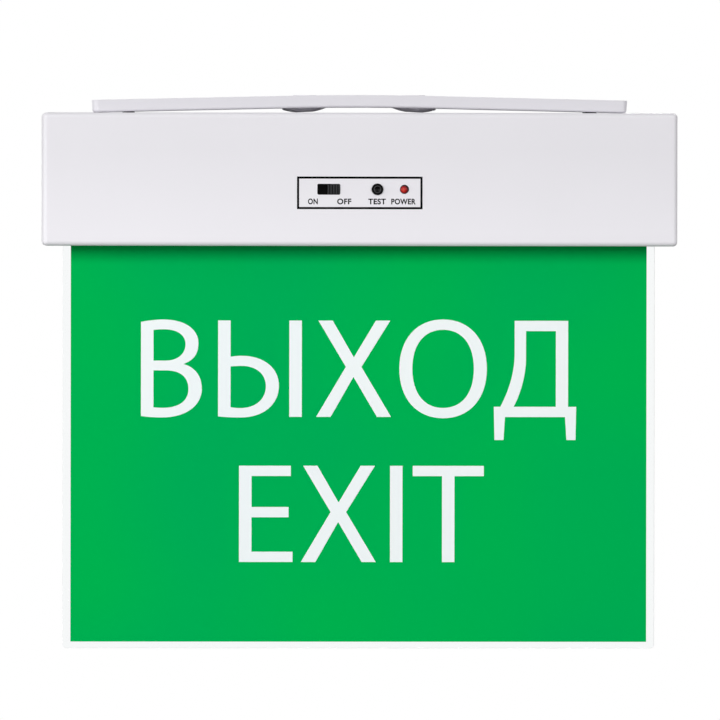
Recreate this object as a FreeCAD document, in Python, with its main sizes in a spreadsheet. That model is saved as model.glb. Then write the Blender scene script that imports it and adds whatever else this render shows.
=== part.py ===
"""Emergency exit light: a battery housing hung from a ceiling plate, with an edge-lit sign panel.

The frame: X runs along the housing, -Y is the front, +Z is up. The origin is on the ceiling,
midway between the two fixing holes of the mounting plate. All lengths are in millimetres.
"""
import FreeCAD, Part
import math
import os

import Sketcher

# ---------------------------------------------------------------- driving dimensions

DRIVING = {
    # mounting plate: a shallow tray, open towards the ceiling and bowed up in its middle
    "plate_width": 294.8,
    "plate_depth": 43.0,
    "plate_height": 6.8,
    "plate_bow": 2.9,
    "plate_bend": 35.0,
    "plate_wall": 1.6,
    "plate_draft": 0.5,
    "plate_corner_radius": 3.0,
    "plate_edge_radius": 1.4,
    "plate_rib_thickness": 1.4,
    "plate_rib_height": 3.0,
    "plate_rib_place": 88.0,
    # dished screw seats of the plate
    "seat_spacing": 60.0,
    "seat_radius": 12.3,
    "seat_bulge": 2.15,
    "seat_tilt": 3.0,
    "dish_offset": 1.9,
    "seat_gap": 0.1,
    "fixing_hole_radius": 2.25,
    "fixing_land": 2.0,
    "fixing_well_radius": 4.8,
    # entry of the supply cable, through the plate and the rear cover
    "cable_hole_radius": 8.0,
    "cable_entry_radius": 5.0,
    "cable_entry_place": 10.0,
    # clips between plate and housing
    "clip_end_margin": 20.0,
    "clip_row_spacing": 35.0,
    "clip_width": 6.0,
    "clip_neck": 2.4,
    "clip_foot": 5.0,
    "clip_foot_height": 1.2,
    "clip_barb": 1.0,
    "clip_barb_height": 2.4,
    "clip_clearance": 0.2,
    "clip_gap": 0.1,
    # housing
    "housing_width": 350.0,
    "housing_depth": 50.0,
    "housing_height": 73.5,
    "housing_wall": 2.2,
    "housing_edge_radius": 2.6,
    "housing_corner_radius": 2.4,
    "lip_thickness": 1.0,
    "lip_height": 1.5,
    "lip_clearance": 0.1,
    "shadow_line_width": 0.5,
    "shadow_line_depth": 0.5,
    # screws of the housing and their bosses
    "boss_radius": 4.2,
    "boss_inset": 6.7,
    "middle_boss_gap": 10.0,
    "web_thickness": 1.4,
    "cover_screw_length": 18.0,
    "cover_screw_grip": 8.0,
    "cover_screw_radius": 1.5,
    "cover_head_radius": 2.8,
    "cover_head_height": 2.0,
    "screw_clearance": 0.3,
    "thread_clearance": 0.05,
    "pilot_tip_gap": 1.0,
    # sign panel and its films
    "panel_side_margin": 11.5,
    "panel_thickness": 4.0,
    "panel_drop": 222.2,
    "panel_corner_radius": 2.2,
    "panel_clearance": 0.3,
    "film_thickness": 0.2,
    "film_side_margin": 4.4,
    "film_foot_margin": 3.6,
    "film_tuck": 3.0,
    "peg_place": 120.0,
    "peg_height": 14.0,
    "peg_radius": 2.9,
    "peg_seat_radius": 5.0,
    "peg_clearance": 0.1,
    "peg_length": 7.0,
    # aluminium channel with the light strip
    "channel_end_margin": 5.5,
    "channel_inner_width": 8.4,
    "channel_wall": 1.0,
    "channel_grip": 4.5,
    "channel_clearance": 0.1,
    "channel_place": 31.7,
    "strip_width": 8.0,
    "strip_thickness": 1.0,
    "chip_width": 3.5,
    "chip_depth": 2.8,
    "chip_height": 0.8,
    "chip_end_margin": 18.0,
    "chip_count": 15,
    "chip_gap": 0.5,
    "saddle_thickness": 2.0,
    "saddle_inner_share": 0.5,
    "saddle_end_margin": 3.0,
    "saddle_rise": 4.0,
    "saddle_reach": 2.0,
    # controls on the front face
    "controls_drop": 42.2,
    "switch_place": -17.4,
    "switch_window_width": 12.7,
    "switch_window_height": 6.0,
    "switch_window_radius": 0.8,
    "knob_width": 6.8,
    "knob_clearance": 0.2,
    "knob_proud": 0.4,
    "knob_groove_pitch": 1.5,
    "knob_groove_count": 4,
    "knob_groove_width": 0.7,
    "knob_groove_depth": 0.5,
    "knob_stem": 2.6,
    "knob_stem_length": 2.4,
    "switch_body_width": 17.0,
    "switch_body_height": 8.0,
    "switch_body_depth": 6.0,
    "button_place": 9.4,
    "button_radius": 3.1,
    "button_clearance": 0.15,
    "button_proud": 0.9,
    "button_travel": 1.2,
    "button_stop_gap": 0.3,
    "button_flange_radius": 4.2,
    "button_flange_height": 1.0,
    "button_dish_radius": 1.9,
    "button_dish_depth": 0.5,
    "button_neck_radius": 2.7,
    "plunger_radius": 1.6,
    "plunger_grip": 2.0,
    "plunger_clearance": 0.06,
    "test_body_width": 8.0,
    "test_body_depth": 4.0,
    "led_place": 24.3,
    "led_radius": 2.45,
    "led_clearance": 0.1,
    "led_proud": 1.2,
    "led_length": 8.6,
    "led_flange_radius": 2.9,
    "led_flange_height": 1.0,
    # control board, on bosses of the front shell
    "board_thickness": 1.6,
    "board_screw_radius": 1.2,
    "board_head_radius": 2.4,
    "board_head_height": 1.6,
    "board_screw_length": 6.0,
    "board_boss_radius": 3.0,
    "board_boss_inset": 4.0,
    "control_board_width": 80.0,
    "control_board_height": 28.0,
    "control_board_gap": 9.3,
    "control_board_place": 3.4,
    # driver board, on bosses of the rear cover
    "driver_board_width": 100.0,
    "driver_board_height": 27.0,
    "driver_board_gap": 5.0,
    "driver_board_margin": 23.0,
    "driver_board_drop": 19.5,
    "transformer_width": 24.0,
    "transformer_height": 20.0,
    "transformer_depth": 16.0,
    "transformer_place": 32.0,
    "transformer_leg": 4.0,
    "transformer_stack": 8.0,
    "coil_clearance": 0.1,
    "capacitor_radius": 5.0,
    "capacitor_length": 16.0,
    "capacitor_pitch": 12.0,
    "capacitor_place": 4.0,
    "capacitor_crimp": 0.5,
    "terminal_ways": 3,
    "terminal_pitch": 5.0,
    "terminal_height": 10.0,
    "terminal_depth": 11.0,
    "terminal_place": -38.0,
    "terminal_wire_radius": 1.5,
    "terminal_screw_radius": 1.4,
    "terminal_screw_length": 3.0,
    "fuse_length": 20.0,
    "fuse_radius": 2.6,
    "fuse_cap_length": 5.0,
    "fuse_cap_step": 0.1,
    "fuse_place": -18.0,
    "fuse_clip_width": 5.0,
    "fuse_clip_thickness": 0.5,
    # battery pack of round cells, strapped to the rear cover
    "cell_radius": 7.2,
    "cell_length": 50.0,
    "cell_count": 3,
    "battery_margin": 30.0,
    "battery_drop": 27.4,
    "wrap_radius": 0.8,
    "wrap_flat": 0.5,
    "cradle_wall": 1.6,
    "cradle_height": 5.0,
    "cradle_clearance": 0.3,
    "strap_width": 12.0,
    "strap_thickness": 1.5,
    "strap_boss_gap": 1.5,
    # clamp for the supply cable
    "clamp_drop": 17.0,
    "clamp_cable_radius": 4.0,
    "clamp_screw_spacing": 18.0,
    "clamp_width": 6.0,
    "clamp_thickness": 2.5,
}


class Size:
    """A length that knows its number and the sheet expression that gives it."""

    def __init__(self, number, text):
        self.number = number
        self.text = text

    def _with(self, other, sign, number):
        return Size(number, "(%s %s %s)" % (self.text, sign, other.text))

    def __add__(self, other):
        other = as_size(other)
        return self._with(other, "+", self.number + other.number)

    def __sub__(self, other):
        other = as_size(other)
        return self._with(other, "-", self.number - other.number)

    def __mul__(self, other):
        other = as_size(other)
        return self._with(other, "*", self.number * other.number)

    def __truediv__(self, other):
        other = as_size(other)
        return self._with(other, "/", self.number / other.number)

    def __radd__(self, other):
        return as_size(other) + self

    def __rsub__(self, other):
        return as_size(other) - self

    def __rmul__(self, other):
        return as_size(other) * self

    def __neg__(self):
        return Size(-self.number, "(0 - %s)" % self.text)


def as_size(value):
    """The value itself if it is a Size, or a plain number as one."""
    return value if isinstance(value, Size) else Size(float(value), repr(value))


class Sizes:
    """The sheet's cells, read by name as Size values."""

    def __getattr__(self, name):
        return Size(float(DRIVING[name]), "sizes." + name)


dim = Sizes()


def make_sheet(doc):
    """Write every driving dimension into the sheet, with its name as alias."""
    sheet = doc.addObject("Spreadsheet::Sheet", "sizes")
    for row, (name, value) in enumerate(DRIVING.items(), start=1):
        sheet.set("A%d" % row, name)
        sheet.set("B%d" % row, str(value))
        sheet.setAlias("B%d" % row, name)
    doc.recompute()


# ---------------------------------------------------------------- sketches and features

PLANES = {"X": "YZ_Plane", "Y": "XZ_Plane", "Z": "XY_Plane"}
SIDES = ((-1, "left"), (1, "right"))


def bind(item, prop, size):
    """Tie a property to the sheet."""
    item.setExpression(prop, as_size(size).text)


def own_plane(body, axis):
    """The body's origin plane that the axis stands on."""
    return next(f for f in body.Origin.OriginFeatures if f.Role == PLANES[axis])


def new_body(doc, label):
    """A PartDesign body under the name of its node."""
    body = doc.addObject("PartDesign::Body", label)
    body.Label = label
    return body


def pin(sketch, geometry, point, x, y):
    """Hold one point of a sketch at a place from the sketch's origin."""
    for kind, size in (("DistanceX", as_size(x)), ("DistanceY", as_size(y))):
        constraint = Sketcher.Constraint(kind, -1, 1, geometry, point, size.number)
        index = sketch.addConstraint(constraint)
        sketch.setExpression("Constraints[%d]" % index, size.text)


def hold_radius(sketch, geometry, radius):
    """Hold the radius of a circle or an arc."""
    index = sketch.addConstraint(Sketcher.Constraint("Radius", geometry, radius.number))
    sketch.setExpression("Constraints[%d]" % index, radius.text)


def circle(x, y, radius):
    """A full circle."""

    def draw(sketch):
        place = FreeCAD.Vector(as_size(x).number, as_size(y).number, 0)
        axis = FreeCAD.Vector(0, 0, 1)
        index = sketch.addGeometry(Part.Circle(place, axis, radius.number), False)
        pin(sketch, index, 3, x, y)
        hold_radius(sketch, index, radius)

    return draw


def bulged_arc(start, end, radius, side):
    """The arc between two points that bulges left (side 1) or right (side -1) of their chord."""
    chord = end - start
    half = chord.Length / 2
    across = FreeCAD.Vector(-chord.y, chord.x, 0).normalize()
    centre = start + chord / 2 - across * (side * math.sqrt(radius * radius - half * half))
    first, last = (end, start) if side > 0 else (start, end)
    angles = [math.atan2(point.y - centre.y, point.x - centre.x) for point in (first, last)]
    if angles[1] < angles[0]:
        angles[1] += 2 * math.pi
    return Part.ArcOfCircle(Part.Circle(centre, FreeCAD.Vector(0, 0, 1), radius), *angles)


def outline(corners, bends=None):
    """A closed outline of straight edges; bends gives {edge: (radius, side)} for its arcs."""
    bends = bends or {}

    def draw(sketch):
        points = [FreeCAD.Vector(as_size(x).number, as_size(y).number, 0) for x, y in corners]
        ends = []
        for edge, start in enumerate(points):
            end = points[(edge + 1) % len(points)]
            if edge in bends:
                radius, side = bends[edge]
                index = sketch.addGeometry(bulged_arc(start, end, radius.number, side), False)
                ends.append((index, 2, 1) if side > 0 else (index, 1, 2))
            else:
                index = sketch.addGeometry(Part.LineSegment(start, end), False)
                ends.append((index, 1, 2))
        for edge, (index, head, tail) in enumerate(ends):
            following, next_head, _ = ends[(edge + 1) % len(ends)]
            sketch.addConstraint(
                Sketcher.Constraint("Coincident", index, tail, following, next_head)
            )
            pin(sketch, index, head, *corners[edge])
        for edge, (radius, _) in bends.items():
            hold_radius(sketch, ends[edge][0], radius)

    return draw


def rectangle(left, right, low, high):
    """A plain rectangle."""
    return outline([(left, low), (right, low), (right, high), (left, high)])


def rounded(left, right, low, high, radius):
    """A rectangle with round corners."""
    corners = [
        (left + radius, low),
        (right - radius, low),
        (right, low + radius),
        (right, high - radius),
        (right - radius, high),
        (left + radius, high),
        (left, high - radius),
        (left, low + radius),
    ]
    return outline(corners, {edge: (radius, -1) for edge in (1, 3, 5, 7)})


def new_sketch(body, name, axis, offset, drawings):
    """A sketch of the drawings on an origin plane, moved along the plane's normal."""
    sketch = body.newObject("Sketcher::SketchObject", name)
    sketch.AttachmentSupport = [(own_plane(body, axis), "")]
    sketch.MapMode = "FlatFace"
    bind(sketch, "AttachmentOffset.Base.z", offset)
    for draw in drawings:
        draw(sketch)
    return sketch


def add(body, name, axis, start, end, drawings):
    """Pad the drawings from start to end along an axis."""
    offset = -as_size(end) if axis == "Y" else start
    sketch = new_sketch(body, name + "_sketch", axis, offset, drawings)
    pad = body.newObject("PartDesign::Pad", name)
    pad.Profile = sketch
    bind(pad, "Length", end - start)
    return pad


def cut(body, name, axis, start, end, drawings):
    """Pocket the drawings from start to end along an axis."""
    offset = -as_size(start) if axis == "Y" else end
    sketch = new_sketch(body, name + "_sketch", axis, offset, drawings)
    pocket = body.newObject("PartDesign::Pocket", name)
    pocket.Profile = sketch
    bind(pocket, "Length", end - start)
    return pocket


def turned(body, name, kind, across, height, lean, drawings):
    """Revolve drawings about an axis that leans from upright towards +X; they lie across X."""
    sketch = new_sketch(body, name + "_sketch", "X", across, drawings)
    tilt = FreeCAD.Rotation(FreeCAD.Vector(1, 0, 0), lean.number)
    sketch.AttachmentOffset = FreeCAD.Placement(sketch.AttachmentOffset.Base, tilt)
    bind(sketch, "AttachmentOffset.Base.y", height)
    bind(sketch, "AttachmentOffset.Rotation.Angle", lean)
    return revolve(body, name, kind, sketch)


def spun(body, name, kind, x, z, drawings):
    """Revolve drawings about an axis along Y; they give radius and Y."""
    sketch = new_sketch(body, name + "_sketch", "Z", z, drawings)
    bind(sketch, "AttachmentOffset.Base.x", x)
    return revolve(body, name, kind, sketch)


def revolve(body, name, kind, sketch):
    """A full turn of a sketch about its own upright axis."""
    feature = body.newObject("PartDesign::" + kind, name)
    feature.Profile = sketch
    feature.ReferenceAxis = (sketch, ["V_Axis"])
    feature.Angle = 360
    return feature


def round_edges(body, name, radius, wanted):
    """Fillet the edges of the body's last feature that the test wants."""
    body.Document.recompute()
    base = body.Tip
    edges = enumerate(base.Shape.Edges, start=1)
    names = ["Edge%d" % number for number, edge in edges if wanted(edge)]
    fillet = body.newObject("PartDesign::Fillet", name)
    fillet.Base = (base, names)
    bind(fillet, "Radius", radius)
    return fillet


def along(edge, axis):
    """Whether a straight edge runs along an axis."""
    box = edge.BoundBox
    spans = {"X": box.XLength, "Y": box.YLength, "Z": box.ZLength}
    return all(span < 1e-6 for name, span in spans.items() if name != axis)


def near(value, size):
    """Whether a coordinate lies at a size."""
    return abs(value - as_size(size).number) < 1e-4


# ---------------------------------------------------------------- places that pieces share

housing_top = -(dim.plate_height + dim.plate_bow + dim.seat_gap)
housing_foot = housing_top - dim.housing_height
front_face = -dim.housing_depth / 2
rear_face = dim.housing_depth / 2
front_inside = front_face + dim.housing_wall
rear_inside = rear_face - dim.housing_wall
housing_half_width = dim.housing_width / 2
inside_half_width = housing_half_width - dim.housing_wall
inside_top = housing_top - dim.housing_wall
inside_foot = housing_foot + dim.housing_wall

panel_half_width = housing_half_width - dim.panel_side_margin
panel_front = -dim.panel_thickness / 2
panel_rear = dim.panel_thickness / 2
panel_top = housing_foot + dim.channel_place
panel_foot = housing_foot - dim.panel_drop
peg_level = housing_foot + dim.peg_height

channel_half_length = panel_half_width - dim.channel_end_margin
channel_half_width = dim.channel_inner_width / 2 + dim.channel_wall
strip_underside = panel_top + dim.chip_gap + dim.chip_height
channel_inside_top = strip_underside + dim.strip_thickness
channel_top = channel_inside_top + dim.channel_wall

controls_level = housing_top - dim.controls_drop
control_board_front = front_inside + dim.control_board_gap
control_board_rear = control_board_front + dim.board_thickness
driver_board_rear = rear_inside - dim.driver_board_gap
driver_board_front = driver_board_rear - dim.board_thickness
driver_board_level = housing_top - dim.driver_board_drop
driver_board_place = housing_half_width - dim.driver_board_margin - dim.driver_board_width / 2
middle_boss_place = driver_board_place - dim.driver_board_width / 2 - dim.middle_boss_gap

battery_place = dim.battery_margin + dim.cell_length / 2 - housing_half_width
battery_front = rear_inside - dim.cell_radius * 2
battery_level = housing_top - dim.battery_drop
battery_half_height = dim.cell_radius * dim.cell_count
clamp_level = housing_top - dim.clamp_drop
clamp_bar_rear = dim.cable_entry_place - dim.clamp_cable_radius
clip_place = dim.plate_width / 2 - dim.clip_end_margin
outer_saddle = channel_half_length - dim.saddle_end_margin
inner_saddle = outer_saddle * dim.saddle_inner_share
saddle_places = [sign * place for place in (inner_saddle, outer_saddle) for sign in (-1, 1)]


def cover_screw_places():
    """X and Z of the six screws that join the halves."""
    side = housing_half_width - dim.boss_inset
    high = housing_top - dim.boss_inset
    low = housing_foot + dim.boss_inset
    middle = middle_boss_place
    return [(-side, low), (side, low), (-side, high), (side, high), (-middle, high), (middle, high)]


def board_screw_places(centre, level, width, height):
    """X and Z of the four screws of a board."""
    across = width / 2 - dim.board_boss_inset
    rise = height / 2 - dim.board_boss_inset
    return [(centre + i * across, level + j * rise) for i in (-1, 1) for j in (-1, 1)]


def control_board_screw_places():
    """X and Z of the control board's screws."""
    return board_screw_places(
        dim.control_board_place, controls_level, dim.control_board_width, dim.control_board_height
    )


def driver_board_screw_places():
    """X and Z of the driver board's screws."""
    return board_screw_places(
        driver_board_place, driver_board_level, dim.driver_board_width, dim.driver_board_height
    )


def strap_screw_places():
    """X and Z of the battery strap's screws."""
    reach = dim.cell_length / 2 + dim.cradle_clearance + dim.cradle_wall + dim.strap_boss_gap
    across = reach + dim.board_boss_radius
    return [(battery_place + sign * across, battery_level) for sign in (-1, 1)]


def clamp_screw_places():
    """X and Z of the cable clamp's screws."""
    return [(sign * dim.clamp_screw_spacing / 2, clamp_level) for sign in (-1, 1)]


# ---------------------------------------------------------------- mounting plate and clips


def plate_slope():
    """How steeply the plate's straight arms fall away from the bend over its middle."""
    return dim.plate_bow / (dim.plate_width / 2 - dim.plate_bend / 2)


def plate_sag(place):
    """How far an arm of the bent plate has dropped at a distance from its middle."""
    return plate_slope() * (place - dim.plate_bend / 2)


def mounting_plate(doc):
    """A tray of even wall with its rim against the ceiling, bent a little over its middle."""
    body = new_body(doc, "mounting_plate")
    half = dim.plate_width / 2
    bend = dim.plate_bend
    bend_radius = bend / plate_slope()
    rim = -dim.plate_bow
    foot = rim - dim.plate_height
    depth = dim.plate_depth / 2
    inside = depth - dim.plate_wall
    bends = {0: (bend_radius, 1), 4: (bend_radius, -1)}

    def tray_outline(inset, low, high):
        top_half = half - inset
        foot_half = top_half - dim.plate_draft
        right = [
            (bend, low - plate_sag(bend)),
            (foot_half, low - plate_sag(foot_half)),
            (top_half, high - plate_sag(top_half)),
            (bend, high - plate_sag(bend)),
        ]
        left = [(-x, z) for x, z in reversed(right)]
        return outline([left[3]] + right + left[:3], bends)

    add(body, "tray", "Y", -depth, depth, [tray_outline(0, -dim.plate_height, as_size(0))])
    end_zone = half.number - dim.plate_draft.number - 1e-3
    round_edges(
        body,
        "upright_corners",
        dim.plate_corner_radius,
        lambda e: abs(e.CenterOfMass.x) > end_zone and not along(e, "Y"),
    )
    middle = foot.number + dim.plate_height.number / 2
    lowest = -dim.plate_height.number
    round_edges(
        body,
        "lower_edge",
        dim.plate_edge_radius,
        lambda e: e.BoundBox.ZMax < lowest + 1e-3 and e.BoundBox.ZMin < middle
        and e.BoundBox.ZLength < dim.plate_bow.number + 1e-3,
    )
    room = [tray_outline(dim.plate_wall, dim.plate_wall - dim.plate_height, dim.plate_wall)]
    cut(body, "tray_inside", "Y", -inside, inside, room)
    rib_foot = dim.plate_wall / 2 - dim.plate_height - plate_sag(dim.plate_rib_place)
    for side, name in SIDES:
        place = side * dim.plate_rib_place
        half_rib = dim.plate_rib_thickness / 2
        rib = [rectangle(-inside, inside, rib_foot, rib_foot + dim.plate_rib_height)]
        add(body, "rib_" + name, "X", place - half_rib, place + half_rib, rib)
        screw_seat(body, side, name)
    screw_places = [side * dim.seat_spacing / 2 for side in (-1, 1)]
    wells = [circle(place, 0, dim.fixing_well_radius) for place in screw_places]
    well_foot = housing_top - dim.plate_wall
    cut(body, "fixing_wells", "Z", well_foot, -dim.fixing_land, wells)
    holes = [circle(place, 0, dim.fixing_hole_radius) for place in screw_places]
    cut(body, "fixing_holes", "Z", -dim.fixing_land, as_size(0), holes)
    cable = [circle(0, dim.cable_entry_place, dim.cable_hole_radius)]
    cut(body, "cable_hole", "Z", foot, as_size(0), cable)
    slots = [clip_slot_in_plate(side, row) for side in (-1, 1) for row in (-1, 1)]
    cut(body, "clip_slots", "Z", foot - dim.plate_wall, as_size(0), slots)
    return body


def clip_slot_in_plate(side, row):
    """The slot of one clip, with room beside the neck for the clip to flex as it snaps in."""
    place = side * clip_place
    half = dim.clip_width / 2 + dim.clip_clearance
    outer = row * (dim.clip_row_spacing / 2 + dim.clip_neck / 2 + dim.clip_clearance)
    inner = row * (dim.clip_row_spacing / 2 - dim.clip_neck / 2 - dim.clip_barb)
    low, high = (inner, outer) if row > 0 else (outer, inner)
    return rectangle(place - half, place + half, low, high)


def screw_seat(body, side, name):
    """A leaning dish that bears on the housing, round an upright boss for a fixing screw."""
    bed = housing_top + dim.seat_gap
    bulge = dim.seat_bulge
    ball = (dim.seat_radius * dim.seat_radius + bulge * bulge) / (bulge * 2)
    lowest_place = side * (dim.seat_spacing / 2 + dim.dish_offset)
    lean = side * dim.seat_tilt
    centre = bed + ball
    crown = -dim.plate_height + dim.plate_wall / 2 - centre

    def dish(radius, pole, high):
        corners = [(0, pole), (radius, pole + bulge), (radius, high), (0, high)]
        arc = (radius * radius + bulge * bulge) / (bulge * 2)
        return [outline(corners, {0: (arc, -1)})]

    outside = dish(dim.seat_radius, -ball, crown)
    turned(body, "dish_" + name, "Revolution", lowest_place, centre, lean, outside)
    inside = dish(dim.seat_radius - dim.plate_wall, -ball + dim.plate_wall, crown + dim.plate_wall)
    turned(body, "dish_inside_" + name, "Groove", lowest_place, centre, lean, inside)
    start = bed + dim.plate_wall * 0.75
    boss_radius = dim.fixing_well_radius + dim.plate_wall
    boss = [circle(side * dim.seat_spacing / 2, 0, boss_radius)]
    add(body, "fixing_boss_" + name, "Z", start, as_size(0), boss)


def plate_clips(doc):
    """Four hooks: a foot under the housing's top and a barb over the plate's floor."""
    barb_low = dim.plate_wall - dim.plate_height + dim.clip_gap
    barb_low = barb_low - plate_sag(clip_place - dim.clip_width / 2)
    tip = barb_low + dim.clip_barb_height
    foot_low = inside_top - dim.clip_foot_height
    half_neck = dim.clip_neck / 2
    half_foot = dim.clip_foot / 2
    clips = []
    for side, name in SIDES:
        for row, row_name in ((-1, "front"), (1, "rear")):
            middle = row * dim.clip_row_spacing / 2
            profile = [
                (-half_foot, foot_low),
                (half_foot, foot_low),
                (half_foot, inside_top),
                (half_neck, inside_top),
                (half_neck, barb_low),
                (half_neck + dim.clip_barb, barb_low),
                (as_size(0), tip),
                (-half_neck, tip),
                (-half_neck, inside_top),
                (-half_foot, inside_top),
            ]
            corners = [(middle + row * across, level) for across, level in profile]
            clip = new_body(doc, "clip_%s_%s" % (name, row_name))
            place = side * clip_place
            half = dim.clip_width / 2
            add(clip, "hook_" + clip.Label, "X", place - half, place + half, [outline(corners)])
            clips.append(clip)
    return group(doc, "plate_clips", clips)


# ---------------------------------------------------------------- housing


def half_shell(doc, label, face, inside):
    """The open box of one housing half, rounded outside, from the parting plane to its face."""
    body = new_body(doc, label)
    half = housing_half_width
    start, end = (face, as_size(0)) if face.number < 0 else (as_size(0), face)
    add(body, label + "_block", "Y", start, end, [rectangle(-half, half, housing_foot, housing_top)])
    round_edges(body, label + "_corners", dim.housing_corner_radius, lambda e: along(e, "Y"))
    round_edges(
        body,
        label + "_face_edge",
        dim.housing_edge_radius,
        lambda e: near(e.BoundBox.YMin, face) and near(e.BoundBox.YMax, face),
    )
    start, end = (inside, as_size(0)) if face.number < 0 else (as_size(0), inside)
    room = [rectangle(-inside_half_width, inside_half_width, inside_foot, inside_top)]
    cut(body, label + "_room", "Y", start, end, room)
    return body


def lip_ring(reach):
    """The inside outline of the housing, grown by a reach."""
    half = inside_half_width + reach
    return rectangle(-half, half, inside_foot - reach, inside_top + reach)


def cut_clip_slots(body, label, row):
    """Slots in the top wall for the necks of two clips."""
    slots = []
    for side in (-1, 1):
        place = side * clip_place
        half = dim.clip_width / 2 + dim.clip_clearance
        middle = row * dim.clip_row_spacing / 2
        reach = dim.clip_neck / 2 + dim.clip_clearance
        slots.append(rectangle(place - half, place + half, middle - reach, middle + reach))
    cut(body, label + "_clip_slots", "Z", inside_top, housing_top, slots)


def add_saddles(body, label, side, inside):
    """Ribs that hold the light channel from one side and reach over its top."""
    near_face = side * (channel_half_width + dim.channel_clearance)
    over = side * (channel_half_width - dim.saddle_reach)
    crest = channel_top + dim.saddle_rise
    ledge = channel_top + dim.channel_clearance
    foot = panel_top - dim.channel_grip
    corners = [
        (inside, crest), (over, crest), (over, ledge),
        (near_face, ledge), (near_face, foot), (inside, foot),
    ]
    half = dim.saddle_thickness / 2
    for number, place in enumerate(saddle_places, start=1):
        name = "%s_saddle_%d" % (label, number)
        add(body, name, "X", place - half, place + half, [outline(corners)])


def add_webs(body, label, start, end):
    """Webs that tie the screw bosses to the walls beside them."""
    half = dim.web_thickness / 2
    webs = []
    for x, z in cover_screw_places():
        if abs(x.number) > middle_boss_place.number + 1e-6:
            wall = inside_half_width if x.number > 0 else -inside_half_width
            low, high = (x, wall) if x.number > 0 else (wall, x)
            webs.append(rectangle(low, high, z - half, z + half))
        else:
            webs.append(rectangle(x - half, x + half, z, inside_top))
    add(body, label + "_webs", "Y", start, end, webs)


def slot_half_depth():
    """Half the slot that the panel and its films pass through."""
    return panel_rear + dim.film_thickness + dim.panel_clearance


def front_shell(doc):
    """Front half: controls, panel pegs, control board bosses and the rebate for the lip."""
    body = half_shell(doc, "front_shell", front_face, front_inside)
    rebate = dim.lip_thickness + dim.lip_clearance
    depth = dim.lip_height + dim.lip_clearance
    cut(body, "lip_rebate", "Y", -depth, as_size(0), [lip_ring(rebate)])
    add_webs(body, "front", front_inside, -depth - dim.lip_clearance)
    bosses = [circle(x, z, dim.boss_radius) for x, z in cover_screw_places()]
    add(body, "screw_bosses", "Y", front_inside, as_size(0), bosses)
    pilot = dim.cover_screw_radius + dim.thread_clearance
    tip = dim.cover_screw_grip - dim.cover_screw_length - dim.pilot_tip_gap
    pilots = [circle(x, z, pilot) for x, z in cover_screw_places()]
    cut(body, "screw_pilots", "Y", tip, as_size(0), pilots)
    seats = [circle(s * dim.peg_place, peg_level, dim.peg_seat_radius) for s in (-1, 1)]
    add(body, "panel_seats", "Y", front_inside, panel_front, seats)
    pegs = [circle(s * dim.peg_place, peg_level, dim.peg_radius) for s in (-1, 1)]
    add(body, "panel_pegs", "Y", panel_front, panel_front + dim.peg_length, pegs)
    add_saddles(body, "front", -1, front_inside)
    places = control_board_screw_places()
    posts = [circle(x, z, dim.board_boss_radius) for x, z in places]
    add(body, "board_posts", "Y", front_inside, control_board_front, posts)
    cut_board_pilots(body, "board_post", places, control_board_front, -1)
    slot_end = panel_half_width + dim.panel_clearance
    slot = [rectangle(-slot_end, slot_end, -slot_half_depth(), as_size(0))]
    cut(body, "panel_slot", "Z", housing_foot, inside_foot, slot)
    cut_clip_slots(body, "front", -1)
    window_half = dim.switch_window_width / 2
    window_rise = dim.switch_window_height / 2
    window = rounded(
        dim.switch_place - window_half, dim.switch_place + window_half,
        controls_level - window_rise, controls_level + window_rise, dim.switch_window_radius,
    )
    button_hole = dim.button_radius + dim.button_clearance
    led_hole = dim.led_radius + dim.led_clearance
    openings = [
        window,
        circle(dim.button_place, controls_level, button_hole),
        circle(dim.led_place, controls_level, led_hole),
    ]
    cut(body, "control_openings", "Y", front_face, front_inside, openings)
    return body


def cut_board_pilots(body, name, places, seat, side):
    """Pilot holes of board screws in posts that end at a seat; side is where the posts go."""
    radius = dim.board_screw_radius + dim.thread_clearance
    depth = dim.board_screw_length - dim.board_thickness + dim.pilot_tip_gap
    start, end = (seat - depth, seat) if side < 0 else (seat, seat + depth)
    holes = [circle(x, z, radius) for x, z in places]
    cut(body, name + "_pilots", "Y", start, end, holes)


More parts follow.
